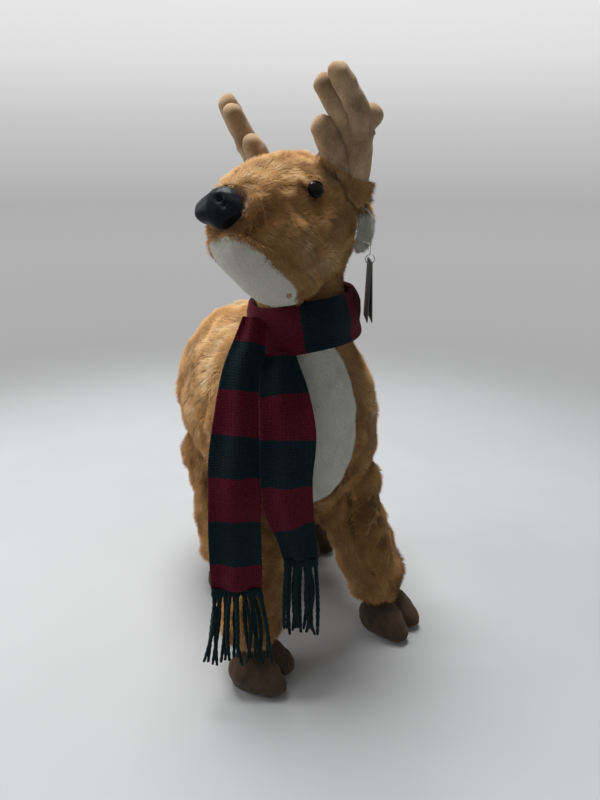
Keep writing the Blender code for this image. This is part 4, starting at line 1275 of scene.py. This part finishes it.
# The wrap: half height, radius, and its folds
WRAP_LENGTH = 0.36
WRAP_MIDDLE = 5 * MM
WRAP_HALF_HEIGHT = 24 * MM
WRAP_RADIUS = 51.5 * MM
WRAP_HALF_THICKNESS = 4.4 * MM
WRAP_ROUND_COUNT = 420
WRAP_SIDES = 30
WRAP_SQUARE_POWER = 0.58
WRAP_FOLD = 1.7 * MM
WRAP_FOLD_TURN = 4.2
WRAP_FOLD_DRIFT = 1.3
WRAP_DRIFTS = 2
WRAP_WAVE = 0.9 * MM
WRAP_WAVES = 5
WRAP_SWAY = 1.2 * MM
WRAP_SWAYS = 3
WRAP_SWAY_START = 1
WRAP_STRIPE_PAIRS = 2
WRAP_GREEN_SHARE = 0.306
GREEN_TURN = math.radians(51.6)


def wrap_ring(angle):
    """Radius and height round one place of the wrap: a flat band with two soft folds on its face."""
    turn = ring_turns(WRAP_SIDES)
    rise = squared(np.sin(turn), WRAP_SQUARE_POWER)
    outward = squared(np.cos(turn), WRAP_SQUARE_POWER)
    drift = WRAP_FOLD_DRIFT * math.sin(angle * WRAP_DRIFTS)
    crease = WRAP_FOLD * np.sin(rise * WRAP_FOLD_TURN + drift) + WRAP_WAVE * math.sin(angle * WRAP_WAVES)
    radius = WRAP_RADIUS + outward * WRAP_HALF_THICKNESS + np.maximum(outward, 0) * crease
    height = rise * WRAP_HALF_HEIGHT + WRAP_SWAY * math.sin(angle * WRAP_SWAYS + WRAP_SWAY_START)
    return np.stack([math.cos(angle) * radius, math.sin(angle) * radius, height], axis=1)


def wrap_turn():
    """Rotation of the wrap's own frame, whose z runs up the neck."""
    return NECK_AXIS.to_track_quat("Z", "Y").to_matrix()


def wrap_count(tree):
    to_camera = wrap_turn().inverted() @ (CAMERA_PLACE + SHIFT - NECK_SEAM)
    start = (math.atan2(to_camera.y, to_camera.x) + GREEN_TURN) / math.tau
    turns = calculate(tree, "SUBTRACT", own_map(tree)[1], start - 1)
    return calculate(tree, "MULTIPLY", turns, WRAP_STRIPE_PAIRS)


def wrap_along(tree):
    return calculate(tree, "MULTIPLY", own_map(tree)[1], WRAP_LENGTH)


def build_wrap():
    place = np.array(Matrix.Translation(NECK_SEAM + NECK_AXIS * WRAP_MIDDLE) @ wrap_turn().to_4x4())
    rings = np.array([wrap_ring(angle) for angle in ring_turns(WRAP_ROUND_COUNT)])
    rings = rings @ place[:3, :3].T + place[:3, 3]
    along = np.arange(WRAP_ROUND_COUNT + 1) / WRAP_ROUND_COUNT
    wrap = add_object("scarf_wrap_knit", swept("scarf_wrap_knit", rings, along, loop=True))
    knit = knit_material("wrap_knit", wrap_count, wrap_along, end_along, WRAP_GREEN_SHARE)
    dress(wrap, knit, "body", ["scarf_wrap"])


# Fringe
YARN_LENGTH = 84 * MM
YARN_UNEVEN = (0.86, 1.0)
YARN_RADIUS = 2.1 * MM
YARN_SIDES = 8
YARN_STEPS = 48
YARN_BEND = 3.2 * MM
YARN_FORWARD = 12 * MM
YARN_INSET = 2 * MM
YARN_RISE = 1 * MM
KNOT_SWELL = 0.5
KNOT_PLACE = 0.06
KNOT_SIZE = 0.05
TIP_THINNING = 0.35
TIP_POWER = 6
STRANDS = 2
STRAND_DEPTH = 0.11
TWIST_LENGTH = 7 * MM


def yarn_rings(top, ahead, bend, length):
    """Rings of one twisted yarn, knotted near its top and thinner at its tip."""
    way = np.linspace(0, 1, YARN_STEPS)
    line = top + np.outer(way, ahead - UP * length) + np.outer(np.sin(way * math.pi), bend)
    knot = np.exp(-(((way - KNOT_PLACE) / KNOT_SIZE) ** 2)) * KNOT_SWELL
    radius = YARN_RADIUS * (1 + knot) * (1 - TIP_THINNING * way**TIP_POWER)
    turn = ring_turns(YARN_SIDES)
    twist = way[:, None] * length * math.tau / TWIST_LENGTH
    spiral = 1 + STRAND_DEPTH * np.cos(STRANDS * turn[None, :] + twist)
    spokes = np.outer(np.cos(turn), SCARF_SIDEWAYS) + np.outer(np.sin(turn), SCARF_OUTWARD)
    return line[:, None] + (radius[:, None] * spiral)[:, :, None] * spokes


def build_fringe(key, foot, half, count, splay):
    """Twisted yarns, each knotted under the hem, splayed and a little bent."""
    rng = np.random.default_rng(SEED + count)
    name = "fringe_" + key + "_yarns"
    bm = bmesh.new()
    for n in range(count):
        share = (2 * n + 1) / count - 1
        top = foot + SCARF_SIDEWAYS * share * (half - YARN_INSET) + UP * YARN_RISE
        ahead = SCARF_SIDEWAYS * share * half * splay + SCARF_OUTWARD * YARN_FORWARD
        bend = (SCARF_SIDEWAYS * rng.normal() + SCARF_OUTWARD * rng.normal()) * YARN_BEND
        rings = yarn_rings(top, ahead, bend, YARN_LENGTH * rng.uniform(*YARN_UNEVEN))
        bm.from_mesh(swept("yarn", rings, np.linspace(0, 1, YARN_STEPS)))
    mesh = finished_mesh(bm, name)
    mesh.shade_smooth()
    return add_object(name, mesh)


# Small hard pieces, which stay as the CAD has them
def finish_small_nodes():
    looks = {"hang_tag": CARD, "tag_fastener": CLEAR}
    for side_name, _ in SIDES:
        looks["eye_" + side_name] = EYE_GLOSS
        looks["eye_washer_" + side_name] = WASHER
    for name, material in looks.items():
        materials = NODES[name].data.materials
        materials.clear()
        materials.append(material)


# Floor, light and camera
FLOOR_HALF = 4.0
FLOOR_SEGMENTS = 8
FLOOR_FADE = (0.62, 1.4)
FLOOR_MOTTLE = 3.0
FLOOR_GREYS = ((0.47, 0.475, 0.48), (0.50, 0.505, 0.51))
# The backdrop's brightness by the height of the view's direction, from the lowest to the highest
BACKDROP_HEIGHTS = (-0.3, 0.2)
BACKDROP_STOPS = ((0.0, 0.40), (0.36, 0.44), (0.5, 0.43), (0.7, 0.56), (0.87, 0.74), (1.0, 0.80))
WORLD_COLOUR = (0.80, 0.81, 0.82, 1.0)
WORLD_STRENGTH = 0.26
LAMP_TARGET = Vector((0, 0, 0.3))
# Soft lamps: place, size in metres, and power in watts
LAMPS = {"key": (Vector((-0.05, 0.3, 2.3)), 1.1, 60), "side": (Vector((-1.7, 0.9, 1.1)), 1.2, 17)}


def share_between(tree, value, limits, **settings):
    """Share of the way that a value is from the first limit to the second."""
    sockets = {"Value": value, "From Min": limits[0], "From Max": limits[1]}
    return add_node(tree, "MapRange", sockets, **settings).outputs["Result"]


def build_floor():
    bm = bmesh.new()
    bmesh.ops.create_grid(bm, x_segments=FLOOR_SEGMENTS, y_segments=FLOOR_SEGMENTS, size=FLOOR_HALF)
    floor = add_object("floor", finished_mesh(bm, "floor"))
    material, tree, shader = start_material("floor_paper", FLOOR_FINISH)
    colour_by(tree, shader, pair_ramp(tree, noise(tree, FLOOR_MOTTLE), FLOOR_GREYS))
    place = object_coordinates(tree)
    away = add_node(tree, "VectorMath", {0: place}, operation="LENGTH").outputs["Value"]
    fade = share_between(tree, away, FLOOR_FADE, interpolation_type="SMOOTHSTEP")
    clear = add_node(tree, "BsdfTransparent").outputs["BSDF"]
    mixed = add_node(tree, "MixShader", {0: fade, 1: shader.outputs["BSDF"], 2: clear})
    tree.links.new(mixed.outputs["Shader"], tree.nodes["Material Output"].inputs["Surface"])
    floor.data.materials.append(material)


def build_world():
    world = bpy.data.worlds.new("studio")
    bpy.context.scene.world = world
    world.use_nodes = True
    tree = world.node_tree
    background = tree.nodes["Background"]
    background.inputs["Color"].default_value = WORLD_COLOUR
    background.inputs["Strength"].default_value = WORLD_STRENGTH
    direction = add_node(tree, "TexCoord").outputs["Generated"]
    height = share_between(tree, split(tree, direction)[2], BACKDROP_HEIGHTS)
    stops = tuple((place, grey(level)) for place, level in BACKDROP_STOPS)
    shown = add_node(tree, "Background", {"Color": ramp(tree, height, stops), "Strength": 1.0})
    path = add_node(tree, "LightPath").outputs
    seen = calculate(tree, "ADD", path["Is Camera Ray"], path["Is Glossy Ray"])
    seen = calculate(tree, "ADD", seen, path["Is Transmission Ray"])
    seen = calculate(tree, "MINIMUM", seen, 1.0)
    mixed = add_node(tree, "MixShader", {0: seen, 1: background.outputs[0], 2: shown.outputs[0]})
    tree.links.new(mixed.outputs["Shader"], tree.nodes["World Output"].inputs["Surface"])


def add_lamp(name, place, size, power):
    data = bpy.data.lights.new(name, "AREA")
    data.shape = "DISK"
    data.size = size
    data.energy = power
    lamp = add_object(name, data)
    lamp.location = place
    lamp.rotation_euler = (LAMP_TARGET - place).to_track_quat("-Z", "Y").to_euler()


def build_camera():
    data = bpy.data.cameras.new("camera")
    camera = add_object("camera", data)
    data.sensor_width = SENSOR_MM
    data.lens = SENSOR_MM * FOCUS_PX / IMAGE_HEIGHT_PX
    data.clip_start = CLIP_START
    camera.location = CAMERA_PLACE + SHIFT
    level = math.cos(CAMERA_PITCH)
    way = Vector((math.sin(CAMERA_YAW) * level, math.cos(CAMERA_YAW) * level, -math.sin(CAMERA_PITCH)))
    camera.rotation_euler = way.to_track_quat("-Z", "Y").to_euler()
    bpy.context.scene.camera = camera


build_camera()
build_body()
build_bib()
for leg_key in LEG_KEYS:
    build_leg(leg_key)
build_tail()
build_head()
for side_name, side in SIDES:
    build_ear(side_name, side)
    build_antler(side_name, side)
build_nose()
build_wrap()
build_scarf()
finish_small_nodes()
build_floor()
build_world()
for name, rules in LAMPS.items():
    add_lamp(name, *rules)
bpy.context.scene.view_settings.view_transform = "Standard"
